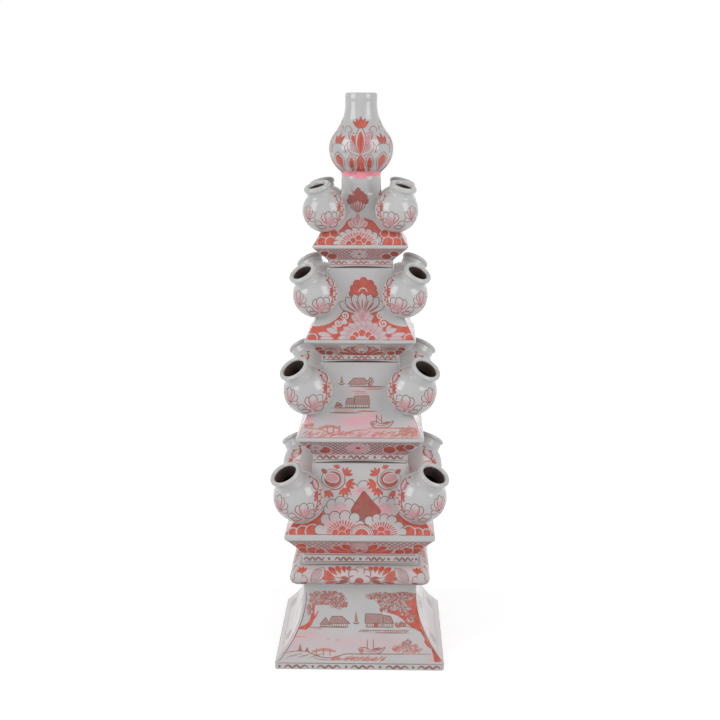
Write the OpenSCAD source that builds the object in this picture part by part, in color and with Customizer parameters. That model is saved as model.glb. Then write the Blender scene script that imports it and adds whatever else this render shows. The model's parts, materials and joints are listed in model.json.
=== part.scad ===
// Pagoda tulipiere: a porcelain flower tower of loose, stacked square tiers.
// Every tier is a water vessel with a globe spout at each corner, and a gourd bottle crowns the tower.
// Millimetres, +Z up, -Y is the front. The origin is the middle of the pedestal's foot, on the table.

/* [Walls and fits] */
// Thickness of the pedestal's and the tiers' walls, measured level
wall = 5.5; // [4:0.5:7]
// Thickness of a tier's floor
floor_t = 6; // [4:0.5:9]
// How far a tier's locating spigot drops into the opening below it
spigot_depth = 6; // [3:0.5:10]
// Gap all round between a spigot and the opening it drops into
spigot_gap = 1; // [0.5:0.1:1.5]
// How far a tier's foot stands back from the edge that it sits on
foot_setback = 0.75; // [0.5:0.25:2]
// Radius of the upright corners of the square pieces
corner_r = 3; // [1.5:0.5:5]
// Rounding of a tier's top lip
lip_round = 1.5; // [0.5:0.5:2]
// Rounding of a roof rim's two edges
rim_round = 1.2; // [0.5:0.1:1.5]

/* [Pedestal] */
// Height of the pedestal
pedestal_h = 107; // [95:1:120]
// Width of the square foot
pedestal_foot_w = 180; // [160:1:200]
// Height of the upright band round the foot
pedestal_foot_h = 9; // [6:0.5:14]
// Slope of the flared sides where they meet the foot band, in degrees
pedestal_slope = 46; // [35:1:60]
// Width of the waist
waist_w = 121; // [110:1:122]
// Height of the waist above the table
waist_z = 77; // [70:1:82]
// Width of the cushion moulding at its fullest
cushion_w = 149; // [135:1:160]
// Height of the cushion moulding
cushion_h = 21; // [16:0.5:24]
// Width of the flat top that carries the lower tier
pedestal_top_w = 125.5; // [124:0.5:130]

/* [Lower tier] */
// Height of the lower tier from its seat to its lip
lower_h = 109.5; // [100:0.5:120]
// Height of the foot band
lower_foot_h = 13; // [8:0.5:16]
// Height of the sloping underside
lower_under_h = 19; // [14:0.5:24]
// Width of the roof rim
lower_rim_w = 159; // [145:1:170]
// Height of the roof rim's edge
lower_rim_h = 7; // [4:0.5:9]
// Width across the top lip
lower_top_w = 102; // [94:1:108]
// Slope of the roof where it meets the rim, in degrees
lower_slope = 50; // [40:1:60]
// Radius of the spouts' globes
lower_globe_r = 27.4; // [24:0.1:29]
// Radius of the round opening in a spout
lower_mouth_r = 12.2; // [9:0.1:13]
// Radius of the rolled lip round a spout's mouth
lower_lip_r = 17.5; // [16:0.1:19]
// Distance from the middle of a globe to its mouth
lower_reach = 35.5; // [34:0.5:40]
// Lean of the spouts from upright, in degrees
lower_tilt = 34; // [25:1:45]
// Depth of a globe's middle below the top lip
lower_drop = 32.5; // [28:0.5:38]

/* [Middle tier] */
// Height of the middle tier from its seat to its lip
middle_h = 107; // [98:0.5:118]
// Height of the foot band
middle_foot_h = 9; // [6:0.5:12]
// Height of the sloping underside
middle_under_h = 17.5; // [13:0.5:22]
// Width of the roof rim
middle_rim_w = 134.5; // [122:0.5:144]
// Height of the roof rim's edge
middle_rim_h = 4.5; // [3:0.5:7]
// Width across the top lip
middle_top_w = 83; // [78:1:90]
// Slope of the roof where it meets the rim, in degrees
middle_slope = 64; // [50:1:68]
// Radius of the spouts' globes
middle_globe_r = 26.4; // [23:0.1:28]
// Radius of the round opening in a spout
middle_mouth_r = 11.6; // [9:0.1:12.5]
// Radius of the rolled lip round a spout's mouth
middle_lip_r = 16.6; // [15.5:0.1:18]
// Distance from the middle of a globe to its mouth
middle_reach = 34.5; // [33:0.5:39]
// Lean of the spouts from upright, in degrees
middle_tilt = 38; // [28:1:46]
// Depth of a globe's middle below the top lip
middle_drop = 27; // [24:0.5:34]

/* [Upper tier] */
// Height of the upper tier from its seat to its lip
upper_h = 99; // [92:0.5:108]
// Height of the foot band
upper_foot_h = 7.5; // [5:0.5:10]
// Height of the sloping underside
upper_under_h = 15; // [11:0.5:19]
// Width of the roof rim
upper_rim_w = 116.5; // [106:0.5:124]
// Height of the roof rim's edge
upper_rim_h = 4; // [3:0.5:6]
// Width across the top lip
upper_top_w = 70; // [66:1:76]
// Slope of the roof where it meets the rim, in degrees
upper_slope = 60; // [48:1:66]
// Radius of the spouts' globes
upper_globe_r = 24.1; // [21:0.1:26]
// Radius of the round opening in a spout
upper_mouth_r = 9.9; // [8:0.1:11]
// Radius of the rolled lip round a spout's mouth
upper_lip_r = 15.2; // [14:0.1:16.5]
// Distance from the middle of a globe to its mouth
upper_reach = 32.5; // [31:0.5:37]
// Lean of the spouts from upright, in degrees
upper_tilt = 37; // [28:1:46]
// Depth of a globe's middle below the top lip
upper_drop = 26.5; // [24:0.5:34]

/* [Top tier] */
// Height of the top tier from its seat to the end of its neck
top_h = 94; // [88:0.5:104]
// Height of the foot band
top_foot_h = 8; // [5:0.5:10]
// Height of the sloping underside
top_under_h = 13; // [10:0.5:16]
// Width of the roof rim
top_rim_w = 99.5; // [92:0.5:106]
// Height of the roof rim's edge
top_rim_h = 4; // [3:0.5:6]
// Slope of the roof where it meets the rim, in degrees
top_slope = 60; // [50:1:64]
// Width of the round neck where it leaves the roof
neck_w = 43; // [40:0.5:48]
// Width of the round neck where it carries the bottle
neck_top_w = 41; // [38:0.5:43]
// Length of the neck above the roof
neck_h = 17; // [12:0.5:24]
// Radius of the spouts' globes
top_globe_r = 22.5; // [20:0.1:24]
// Radius of the round opening in a spout
top_mouth_r = 8.3; // [7:0.1:9.5]
// Radius of the rolled lip round a spout's mouth
top_lip_r = 14.3; // [13:0.1:15.5]
// Distance from the middle of a globe to its mouth
top_reach = 29; // [28:0.5:33]
// Lean of the spouts from upright, in degrees
top_tilt = 21; // [15:1:30]
// Depth of a globe's middle below the end of the neck
top_drop = 34.5; // [32:0.5:38]

/* [Bottle] */
// Height of the gourd bottle above the neck
bottle_h = 85; // [78:0.5:95]
// Width of the bottle's belly
belly_w = 67.6; // [60:0.2:74]
// Height of the oval that shapes the belly
belly_h = 60; // [54:1:66]
// Height of the belly's fullest point above the neck
belly_z = 27; // [26:0.5:30]
// Width of the bottle's mouth
bottle_mouth_w = 33.6; // [30:0.2:38]
// Thickness of the bottle's wall, measured level
bottle_wall = 4.3; // [3:0.1:5]
// Length of the straight neck under the mouth
bottle_neck_h = 12; // [8:0.5:16]
// Rounding of the bottle's mouth
bottle_round = 1.8; // [1:0.1:2]

/* [Spouts] */
// Thickness of a globe's wall
spout_wall = 4; // [3:0.25:5]
// How far a globe's middle stands out past the tier's two sides
spout_proud = 8; // [6:0.5:10]
// How far the rolled lip stands out past the spout's neck
lip_overhang = 1.7; // [1:0.1:2.2]
// Radius of the hollow between a globe and its neck
neck_fillet = 3.5; // [2:0.5:4]
// Gap, filled with slip, between a globe and its seat in the tier
luting_gap = 0.2; // [0.1:0.05:0.3]

/* [Hidden] */
$fn = 96;

porcelain = "#dedcd8";

// Straight pieces in a rounded corner, a flare, a small arc and a large arc
corner_steps = 4;
flare_steps = 8;
arc_steps = 6;
globe_steps = 22;

// A ring this near to a circle counts as round, which keeps its four short sides from vanishing
round_share = 0.97;

// Bearings of the four corners, counted from +X, a quarter turn apart
rear_right = 45;
rear_left = rear_right + 90;
front_left = rear_right + 180;
front_right = rear_right + 270;
corners = [front_left, front_right, rear_left, rear_right];

// A tier is its seat's height, half the opening below, then its own sizes from the foot to the lip.
// The top tier's lip is the place where its roof turns into the neck.
lower_seat = pedestal_h;
middle_seat = lower_seat + lower_h;
upper_seat = middle_seat + middle_h;
top_seat = upper_seat + upper_h;
bottle_seat = top_seat + top_h;
lower = [lower_seat, pedestal_top_w / 2, lower_foot_h, lower_under_h, lower_rim_w / 2, lower_rim_h,
         lower_slope, [lower_top_w / 2, middle_seat - lip_round]];
middle = [middle_seat, lower_top_w / 2, middle_foot_h, middle_under_h, middle_rim_w / 2, middle_rim_h,
          middle_slope, [middle_top_w / 2, upper_seat - lip_round]];
upper = [upper_seat, middle_top_w / 2, upper_foot_h, upper_under_h, upper_rim_w / 2, upper_rim_h,
         upper_slope, [upper_top_w / 2, top_seat - lip_round]];
top = [top_seat, upper_top_w / 2, top_foot_h, top_under_h, top_rim_w / 2, top_rim_h,
       top_slope, [neck_w / 2, bottle_seat - neck_h]];

// A spout is its globe's radius, mouth's radius, lip's radius, reach, lean and the height of its middle
lower_spout = [lower_globe_r, lower_mouth_r, lower_lip_r, lower_reach, lower_tilt, middle_seat - lower_drop];
middle_spout = [middle_globe_r, middle_mouth_r, middle_lip_r, middle_reach, middle_tilt,
                upper_seat - middle_drop];
upper_spout = [upper_globe_r, upper_mouth_r, upper_lip_r, upper_reach, upper_tilt, top_seat - upper_drop];
top_spout = [top_globe_r, top_mouth_r, top_lip_r, top_reach, top_tilt, bottle_seat - top_drop];

// Outlines are lists of [half-width or radius, height]
function arc(centre, radii, from, to, steps) =
    [for (i = [0:steps]) let (a = from + (to - from) * i / steps)
        centre + [radii.x * cos(a), radii.y * sin(a)]];
function curve(a, b, c, t) = (1 - t) * (1 - t) * a + 2 * t * (1 - t) * b + t * t * c;
function reversed(list) = [for (i = [len(list) - 1:-1:0]) list[i]];
function inset(outline, by) = [for (p = outline) p - [by, 0]];

// A flare sweeps up from a rim, at the rim's slope, and ends upright at its top
function knee(rim, top, slope) = [top.x, min(top.y, rim.y + (rim.x - top.x) * tan(slope))];
function flare(rim, top, slope) =
    [for (i = [0:flare_steps]) curve(rim, knee(rim, top, slope), top, i / flare_steps)];
function flare_at(rim, top, slope, z) =
    let (k = knee(rim, top, slope),
         a = rim.y - 2 * k.y + top.y,
         b = 2 * (k.y - rim.y),
         c = rim.y - z,
         t = abs(a) < 0.001 ? -c / b : (-b + sqrt(b * b - 4 * a * c)) / (2 * a))
    curve(rim.x, k.x, top.x, t);

// Places on a tier
function foot_x(t) = t[1] - foot_setback;
function foot_top(t) = t[0] + t[2];
function spigot_x(t) = t[1] - wall - spigot_gap;
function floor_z(t) = t[0] + max(t[2], floor_t);
function rim_low(t) = [t[4], foot_top(t) + t[3]];
function rim_high(t) = rim_low(t) + [0, t[5]];
function roof_rim(t) = rim_high(t) - [rim_round, 0];
function roof(t) = flare(roof_rim(t), t[7], t[6]);
function spout_middle(t, s) = flare_at(roof_rim(t), t[7], t[6], s[5]) + spout_proud;

// The underside with its hollow spigot, the foot band and the rim, from the middle outwards and up
function tier_foot(t) = [
    [spigot_x(t) - wall, floor_z(t) - floor_t],
    [spigot_x(t) - wall, t[0] - spigot_depth],
    [spigot_x(t), t[0] - spigot_depth],
    [spigot_x(t), t[0]],
    [foot_x(t), t[0]],
    [foot_x(t), foot_top(t)],
    rim_low(t) - [rim_round, 0],
    rim_low(t) + [0, rim_round],
    rim_high(t) - [0, rim_round]
];

// The inside of the rim and the floor, from the roof downwards
function tier_floor(t) = [
    [t[4] - wall, rim_low(t).y + t[5] / 2],
    [foot_x(t) - wall, floor_z(t)]
];

// One level ring of a square with rounded corners
function ring(p, r) =
    let (c = min(r, p.x * round_share))
    [for (q = [0:3], s = [0:corner_steps])
        let (a = 90 * s / corner_steps, x = p.x - c + c * cos(a), y = p.x - c + c * sin(a))
        [x * cos(90 * q) - y * sin(90 * q), x * sin(90 * q) + y * cos(90 * q), p.y]];
function square_rings(outline) = [for (p = outline) ring(p, corner_r)];

// Rings whose corners grow rounder from the height low, where they are square, to the height high
function rounding_rings(outline, low, high) =
    [for (p = outline)
        let (u = max(0, min(1, (p.y - low) / (high - low))))
        ring(p, corner_r + (p.x * round_share - corner_r) * u)];

// A skin over rings of the same count, closed by a flat face at each end or, as a loop, onto itself
module skin(rings, loop = false) {
    n = len(rings[0]);
    last = len(rings) - (loop ? 1 : 2);
    sides = [for (i = [0:last], j = [0:n - 1])
        let (up = (i + 1) % len(rings) * n, on = (j + 1) % n)
        each [[i * n + j, up + j, up + on], [i * n + j, up + on, i * n + on]]];
    ends = loop ? [] : [[for (j = [0:n - 1]) j], [for (j = [n - 1:-1:0]) (len(rings) - 1) * n + j]];
    polyhedron([for (r = rings) each r], concat(sides, ends));
}

// How far out along a bearing a square of this half-width ends
function square_edge(half, bearing) = half / max(abs(cos(bearing)), abs(sin(bearing)));

// Puts a spout's own frame, with its axis along +Z, at a corner of its tier
module at_corner(t, s, bearing) {
    rotate(bearing)
        translate([square_edge(spout_middle(t, s), bearing), 0, s[5]])
            rotate([0, s[4], 0]) children();
}

// The seats that the globes are luted into, each drilled on through the wall
module spout_seats(t, s) {
    for (bearing = corners)
        at_corner(t, s, bearing) {
            sphere(s[0] + luting_gap);
            translate([0, 0, -s[0] - 2 * wall]) cylinder(r = s[1], h = s[0] + 2 * wall);
        }
}

module pedestal() {
    half_top = pedestal_top_w / 2;
    cushion_low = pedestal_h - cushion_h;
    foot_edge = [pedestal_foot_w / 2 - rim_round, pedestal_foot_h];
    waist = [waist_w / 2, waist_z];
    sides = flare(foot_edge, waist, pedestal_slope);
    cove = [for (i = [1:arc_steps - 1])
        curve(waist, [waist.x, cushion_low], [half_top, cushion_low], i / arc_steps)];
    cushion = arc([half_top, pedestal_h - cushion_h / 2], [cushion_w / 2 - half_top, cushion_h / 2],
                  -90, 90, 2 * arc_steps);
    outside = concat([[pedestal_foot_w / 2, 0], [pedestal_foot_w / 2, pedestal_foot_h - rim_round]],
                     sides, cove, cushion);
    inside = concat([[half_top - wall, pedestal_h], [half_top - wall, cushion_low]],
                    inset(reversed(sides), wall), [[pedestal_foot_w / 2 - wall, 0]]);
    color(porcelain) skin(square_rings(concat(outside, inside)), loop = true);
}

module tier(t, s) {
    lip = arc(t[7] - [lip_round, 0], [lip_round, lip_round], 0, 90, arc_steps / 2);
    mouth = [t[7].x - wall, t[7].y + lip_round];
    color(porcelain)
        difference() {
            skin(square_rings(concat(tier_foot(t), roof(t), lip, [mouth],
                                     inset(reversed(roof(t)), wall), tier_floor(t))));
            spout_seats(t, s);
        }
}

module top_tier() {
    neck_end = [neck_top_w / 2, bottle_seat];
    outside = concat(tier_foot(top), roof(top), [neck_end]);
    inside = concat([neck_end - [wall, 0]], inset(reversed(roof(top)), wall), tier_floor(top));
    color(porcelain)
        difference() {
            skin(rounding_rings(concat(outside, inside), rim_high(top).y, top[7].y));
            spout_seats(top, top_spout);
        }
}

// A spout is turned about its own axis: a globe, open at both poles, with a neck and a rolled lip
module spout(t, s, bearing) {
    globe_r = s[0];
    mouth_r = s[1];
    hollow_r = globe_r - spout_wall;
    roll_r = (s[2] - mouth_r) / 2;
    roll = [mouth_r + roll_r, s[3] - roll_r];
    neck_r = s[2] - lip_overhang;
    fillet_x = neck_r + neck_fillet;
    fillet = [fillet_x, sqrt(pow(globe_r + neck_fillet, 2) - fillet_x * fillet_x)];
    lean = atan2(fillet.y, fillet.x);
    outside = concat(
        arc([0, 0], [globe_r, globe_r], -acos(mouth_r / globe_r), lean, globe_steps),
        arc(fillet, [neck_fillet, neck_fillet], 180 + lean, 180, arc_steps),
        arc(roll, [roll_r, roll_r], -acos((neck_r - roll.x) / roll_r), 180, 2 * arc_steps));
    inside = arc([0, 0], [hollow_r, hollow_r], acos(mouth_r / hollow_r), -acos(mouth_r / hollow_r),
                 globe_steps);
    color(porcelain)
        at_corner(t, s, bearing) rotate_extrude() polygon(concat(outside, inside));
}

// The bottle is turned: a belly over a short foot, drawn in to a straight neck
module gourd_bottle() {
    middle_of_belly = [0, bottle_seat + belly_z];
    belly = [belly_w / 2, belly_h / 2];
    foot_r = neck_top_w / 2;
    mouth_r = bottle_mouth_w / 2;
    shoulder_angle = 35;
    mouth_z = bottle_seat + bottle_h;
    shoulder = middle_of_belly + [belly.x * cos(shoulder_angle), belly.y * sin(shoulder_angle)];
    draw_in = belly.y / (belly.x * tan(shoulder_angle));
    neck = [mouth_r, mouth_z - bottle_neck_h];
    body = concat(
        [[foot_r, bottle_seat]],
        arc(middle_of_belly, belly, -acos(foot_r / belly.x), shoulder_angle, globe_steps),
        [for (i = [1:flare_steps])
            curve(shoulder, [mouth_r, shoulder.y + (shoulder.x - mouth_r) * draw_in], neck,
                  i / flare_steps)]);
    rim = concat(
        arc([mouth_r - bottle_round, mouth_z - bottle_round], [bottle_round, bottle_round], 0, 90, arc_steps),
        [[mouth_r - bottle_wall, mouth_z]]);
    color(porcelain)
        rotate_extrude() polygon(concat(body, rim, inset(reversed(body), bottle_wall)));
}

pedestal();
tier(lower, lower_spout);  // lower_tier
spout(lower, lower_spout, front_left);  // lower_spout_front_left
spout(lower, lower_spout, front_right);  // lower_spout_front_right
spout(lower, lower_spout, rear_left);  // lower_spout_rear_left
spout(lower, lower_spout, rear_right);  // lower_spout_rear_right
tier(middle, middle_spout);  // middle_tier
spout(middle, middle_spout, front_left);  // middle_spout_front_left
spout(middle, middle_spout, front_right);  // middle_spout_front_right
spout(middle, middle_spout, rear_left);  // middle_spout_rear_left
spout(middle, middle_spout, rear_right);  // middle_spout_rear_right
tier(upper, upper_spout);  // upper_tier
spout(upper, upper_spout, front_left);  // upper_spout_front_left
spout(upper, upper_spout, front_right);  // upper_spout_front_right
spout(upper, upper_spout, rear_left);  // upper_spout_rear_left
spout(upper, upper_spout, rear_right);  // upper_spout_rear_right
top_tier();
spout(top, top_spout, front_left);  // top_spout_front_left
spout(top, top_spout, front_right);  // top_spout_front_right
spout(top, top_spout, rear_left);  // top_spout_rear_left
spout(top, top_spout, rear_right);  // top_spout_rear_right
gourd_bottle();
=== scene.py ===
# %% [markdown]
# # A porcelain flower tower, dressed for the camera
# The tower is a stack of five loose porcelain pieces: a flared pedestal and four square tiers, each tier
# with a globe spout at every corner, and a gourd bottle on top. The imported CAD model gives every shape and
# place. This lesson turns the plain solids into glazed porcelain and paints them in iron red, pink and brown.
# Lengths in the lesson are millimetres, as a potter would write them, and become metres when a mesh is made.

# %% Load the frame
import json
import math
import random

import bmesh
import bpy
from mathutils import Matrix, Vector, geometry

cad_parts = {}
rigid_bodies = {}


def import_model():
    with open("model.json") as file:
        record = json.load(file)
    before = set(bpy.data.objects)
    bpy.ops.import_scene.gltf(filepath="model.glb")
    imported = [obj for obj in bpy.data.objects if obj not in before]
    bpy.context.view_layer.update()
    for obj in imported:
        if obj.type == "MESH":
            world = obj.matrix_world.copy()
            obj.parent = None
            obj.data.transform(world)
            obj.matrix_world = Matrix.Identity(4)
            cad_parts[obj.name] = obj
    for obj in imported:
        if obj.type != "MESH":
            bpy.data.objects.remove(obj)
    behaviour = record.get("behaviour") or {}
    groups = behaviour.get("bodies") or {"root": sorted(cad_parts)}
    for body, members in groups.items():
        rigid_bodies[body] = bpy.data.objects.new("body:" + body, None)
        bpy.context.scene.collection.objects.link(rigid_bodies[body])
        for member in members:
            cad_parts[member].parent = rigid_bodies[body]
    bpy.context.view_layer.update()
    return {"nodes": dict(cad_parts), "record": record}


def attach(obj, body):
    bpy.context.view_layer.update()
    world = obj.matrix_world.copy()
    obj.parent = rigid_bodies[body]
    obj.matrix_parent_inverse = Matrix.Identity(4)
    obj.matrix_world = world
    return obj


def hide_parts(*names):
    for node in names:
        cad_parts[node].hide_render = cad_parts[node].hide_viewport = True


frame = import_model()
MM = 0.001
WELD = 1e-6  # metres: points closer than this are one point
TIERS = ("lower", "middle", "upper", "top")
CORNERS = ("front_left", "front_right", "rear_left", "rear_right")

# %% [markdown]
# ## Camera
# The picture is taken from a little above the middle of the tower, with a long lens, so that the upright
# edges stay nearly parallel. The camera comes first, because each step after it is judged through it.

# %% Place the camera
LOOK_DOWN, LOOK_LEFT = 11.03, 1.25  # degrees
scene = bpy.context.scene
scene.view_settings.view_transform = "Standard"
lens = bpy.data.cameras.new("front_camera")
lens.sensor_width = 36
lens.lens = 62.2
lens.shift_x = -0.0017
camera = bpy.data.objects.new("front_camera", lens)
camera.location = (0.0289, -1.3232, 0.576)
camera.rotation_euler = (math.radians(90 - LOOK_DOWN), 0, math.radians(LOOK_LEFT))
scene.collection.objects.link(camera)
scene.camera = camera
print("camera is", round(camera.location.length, 2), "m from the foot of the tower")

# %% [markdown]
# ## Reading outlines off the CAD solids
# Each piece is either turned on a wheel or built up of square rings, so one outline, half-width against
# height, holds its whole shape. Cutting the solid along its middle with bisect_plane leaves just that
# outline. Walking along the cut edges puts its points in order, from the lowest point outwards and up.

# %% Cut a node and walk along the cut
ON_PLANE = 1e-7  # metres
STRAIGHT = math.radians(0.4)
NO_LENGTH, HAIR = 1e-4, 1e-3


def outline_of(node, to_axis=Matrix()):
    cut = bmesh.new()
    cut.from_mesh(frame["nodes"][node].data)
    bmesh.ops.remove_doubles(cut, verts=cut.verts, dist=WELD)
    bmesh.ops.transform(cut, matrix=to_axis, verts=cut.verts)
    for normal, both in (((1, 0, 0), True), ((0, 1, 0), False)):
        bmesh.ops.bisect_plane(cut, geom=cut.verts[:] + cut.edges[:] + cut.faces[:], dist=ON_PLANE,
                               plane_co=(0, 0, 0), plane_no=normal, clear_outer=True, clear_inner=both)
    bmesh.ops.remove_doubles(cut, verts=cut.verts, dist=WELD)
    ends = [v for v in cut.verts if len(v.link_edges) == 1]
    start = min(ends or cut.verts, key=lambda v: (round(v.co.z, 6), v.co.y))
    onward = max(start.link_edges, key=lambda e: -e.other_vert(start).co.y)
    path, here, edge = [start], start, onward
    while edge:
        here = edge.other_vert(here)
        if here is start:
            break
        path.append(here)
        edge = next((e for e in here.link_edges if e is not edge), None)
    points = [Vector((-v.co.y, v.co.z)) / MM for v in path]
    cut.free()
    return drop_straight(points, not ends), not ends


def drop_straight(points, closed):
    kept = []
    for i, p in enumerate(points):
        if not closed and i in (0, len(points) - 1):
            kept.append(p)
            continue
        a, b = p - points[i - 1], points[(i + 1) % len(points)] - p
        if min(a.length, b.length) > NO_LENGTH and abs(a.angle_signed(b)) > STRAIGHT:
            kept.append(p)
    return kept


outlines = {node: outline_of(node) for node in
            ("pedestal", *(f"{t}_tier" for t in TIERS), "gourd_bottle")}
print({node: len(points) for node, (points, _) in outlines.items()})

# %% [markdown]
# A glazed pot has no knife edges. Runs of points between two sharp bends are drawn as smooth curves, and each
# sharp bend becomes a small round. The glaze surface lies a hair inside the solid, which leaves room for the
# paint on top, so the painted tower stays within the CAD box.

# %% Soften an outline
SQUARE_STEP, TURN_STEP = 3.0, 1.5
PAINT_ROOM = 0.12
EDGE_ROUND = 0.9
SHARP = math.radians(35)
TRIM_SHARE = 0.45


def through(points, step, closed=False):
    """A smooth curve through the points, with a point about every step.

    The slope at a point leans to its shorter side, so a long stretch can't swing a short one."""
    n, out = len(points), []
    for i in range(n if closed else n - 1):
        b, c = points[i], points[(i + 1) % n]
        a = points[i - 1] if closed or i else b * 2 - c
        d = points[(i + 2) % n] if closed or i + 2 < n else c * 2 - b
        ab, bc, cd = ((q - p).length or 1e-6 for p, q in ((a, b), (b, c), (c, d)))
        leave = ((b - a) / ab * bc + (c - b) / bc * ab) / (ab + bc) * bc
        arrive = ((c - b) / bc * cd + (d - c) / cd * bc) / (bc + cd) * bc
        parts = max(1, math.ceil(bc / step))
        for k in range(parts):
            t = k / parts
            out.append(b * (1 + 2 * t) * (1 - t) ** 2 + leave * t * (1 - t) ** 2
                       + c * t * t * (3 - 2 * t) + arrive * t * t * (t - 1))
    return out if closed else out + [points[-1]]


def soften(points, closed, step):
    n = len(points)
    sharp = []
    for i in range(n):
        if not closed and i in (0, n - 1):
            sharp.append(i)
            continue
        a, b = points[i] - points[i - 1], points[(i + 1) % n] - points[i]
        if abs(a.angle_signed(b)) > SHARP:
            sharp.append(i)
    runs = list(zip(sharp, sharp[1:]))
    if closed:
        runs.append((sharp[-1], sharp[0] + n))
    soft = []
    for i, j in runs:
        run = [points[k % n].copy() for k in range(i, j + 1)]
        trims = []
        for end, near in ((0, 1), (-1, -2)):
            span = (run[near] - run[end]).length
            bend = closed or (i, end) != (0, 0) and (j, end) != (n - 1, -1)
            trims.append(min(EDGE_ROUND, TRIM_SHARE * span) if bend else 0)
        head, tail = run[0].copy(), run[-1].copy()
        run[0] = head + (run[1] - head).normalized() * trims[0]
        run[-1] = tail + (run[-2] - tail).normalized() * trims[1]
        soft.append((head, through(run, step), tail))
    out = []
    for k, (head, run, tail) in enumerate(soft):
        out += run
        if k + 1 < len(soft) or closed:
            a, b = run[-1], soft[(k + 1) % len(soft)][1][0]
            out += [a * (1 - t) ** 2 + tail * 2 * t * (1 - t) + b * t ** 2 for t in (0.25, 0.5, 0.75)]
    return out


def inset(points, closed, by):
    low = min(p.y for p in points)
    out, n = [], len(points)
    for i, p in enumerate(points):
        a = points[i - 1] if closed or i else p
        b = points[(i + 1) % n] if closed or i + 1 < n else p
        along = (b - a).normalized()
        q = p + Vector((-along.y, along.x)) * by
        out.append(Vector((max(0, q.x) if p.x > NO_LENGTH else 0, p.y if p.y < low + HAIR else q.y)))
    return out


def glaze_outline(node, step):
    points, closed = outlines[node]
    return inset(soften(points, closed, step), closed, PAINT_ROOM), closed


print("softened lower tier:", len(glaze_outline("lower_tier", SQUARE_STEP)[0]), "points")

# %% [markdown]
# ## Porcelain
# The body is hard white porcelain under a clear glaze that looks a cool grey-white. The glaze is never
# quite even: it is a little bluer where it pools, its gloss changes slightly and its surface rolls by a few
# hundredths of a millimetre. One node group makes that unevenness for the glaze, for the paint, and for two
# darker materials: a dark brown inside the globes and the bottle, which is painted shade and not the clay's
# own colour, and a buff bare clay under the tiers' feet, darkened so that it also paints the shade in the
# gap.

# %% Glaze unevenness as a node group
SPECK_SHARE = 0.35
# A Mix node's sockets share their names, so they are known by number: colours first, then plain values
MIX_FACTOR, MIX_A, MIX_B, MIX_COLOR = 0, 6, 7, 2
MIX_LOW, MIX_HIGH = 2, 3


def put(node, **values):
    """Set a node's inputs by name, with _ for a space."""
    for name, value in values.items():
        node.inputs[name.replace("_", " ")].default_value = value


def node_group_of_glaze():
    group = bpy.data.node_groups.new("glaze_unevenness", "ShaderNodeTree")
    for name, kind, way in (
            ("Thin", "NodeSocketColor", "INPUT"), ("Pooled", "NodeSocketColor", "INPUT"),
            ("Patch size", "NodeSocketFloat", "INPUT"), ("Color", "NodeSocketColor", "OUTPUT"),
            ("Gloss", "NodeSocketFloat", "OUTPUT"), ("Roll", "NodeSocketFloat", "OUTPUT")):
        group.interface.new_socket(name, in_out=way, socket_type=kind)
    n, link = group.nodes.new, group.links.new
    inside, outside = n("NodeGroupInput"), n("NodeGroupOutput")
    place, patches, specks, roll = (n("ShaderNodeTexCoord"), n("ShaderNodeTexNoise"), n("ShaderNodeTexNoise"),
                                    n("ShaderNodeTexNoise"))
    put(patches, Detail=5)
    put(specks, Scale=900, Detail=2)
    put(roll, Scale=55, Detail=2)
    for texture in (patches, specks, roll):
        link(place.outputs["Object"], texture.inputs["Vector"])
    link(inside.outputs["Patch size"], patches.inputs["Scale"])
    both = n("ShaderNodeMath")
    both.operation = "MULTIPLY_ADD"
    link(specks.outputs["Fac"], both.inputs[0])
    both.inputs[1].default_value = SPECK_SHARE
    link(patches.outputs["Fac"], both.inputs[2])
    spread = n("ShaderNodeMapRange")
    put(spread, From_Min=0.45, From_Max=0.9)
    link(both.outputs[0], spread.inputs["Value"])
    mix = n("ShaderNodeMix")
    mix.data_type = "RGBA"
    link(spread.outputs[0], mix.inputs[MIX_FACTOR])
    link(inside.outputs["Thin"], mix.inputs[MIX_A])
    link(inside.outputs["Pooled"], mix.inputs[MIX_B])
    link(mix.outputs[MIX_COLOR], outside.inputs["Color"])
    gloss = n("ShaderNodeMapRange")
    put(gloss, To_Min=0.05, To_Max=0.13)
    link(patches.outputs["Fac"], gloss.inputs["Value"])
    link(gloss.outputs[0], outside.inputs["Gloss"])
    link(roll.outputs["Fac"], outside.inputs["Roll"])
    return group


unevenness = node_group_of_glaze()
print("node group:", unevenness.name, [s.name for s in unevenness.interface.items_tree])


# %% Materials from that group
def glazed(name, thin, pooled, patch, bump, wash=None):
    material = bpy.data.materials.new(name)
    material.use_nodes = True
    nodes, link = material.node_tree.nodes, material.node_tree.links.new
    shader = nodes["Principled BSDF"]
    uneven = nodes.new("ShaderNodeGroup")
    uneven.node_tree = unevenness
    put(uneven, Thin=(*thin, 1), Pooled=(*pooled, 1), Patch_size=patch)
    color = uneven.outputs["Color"]
    if wash:
        amount = nodes.new("ShaderNodeAttribute")
        amount.attribute_name = "wash"
        tint = nodes.new("ShaderNodeMix")
        tint.data_type = "RGBA"
        link(amount.outputs["Fac"], tint.inputs[MIX_FACTOR])
        link(color, tint.inputs[MIX_A])
        tint.inputs[MIX_B].default_value = (*wash, 1)
        color = tint.outputs[MIX_COLOR]
    link(color, shader.inputs["Base Color"])
    link(uneven.outputs["Gloss"], shader.inputs["Roughness"])
    rolling = nodes.new("ShaderNodeBump")
    put(rolling, Strength=bump, Distance=MM)
    link(uneven.outputs["Roll"], rolling.inputs["Height"])
    link(rolling.outputs["Normal"], shader.inputs["Normal"])
    put(shader, IOR=1.52)
    return material


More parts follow.
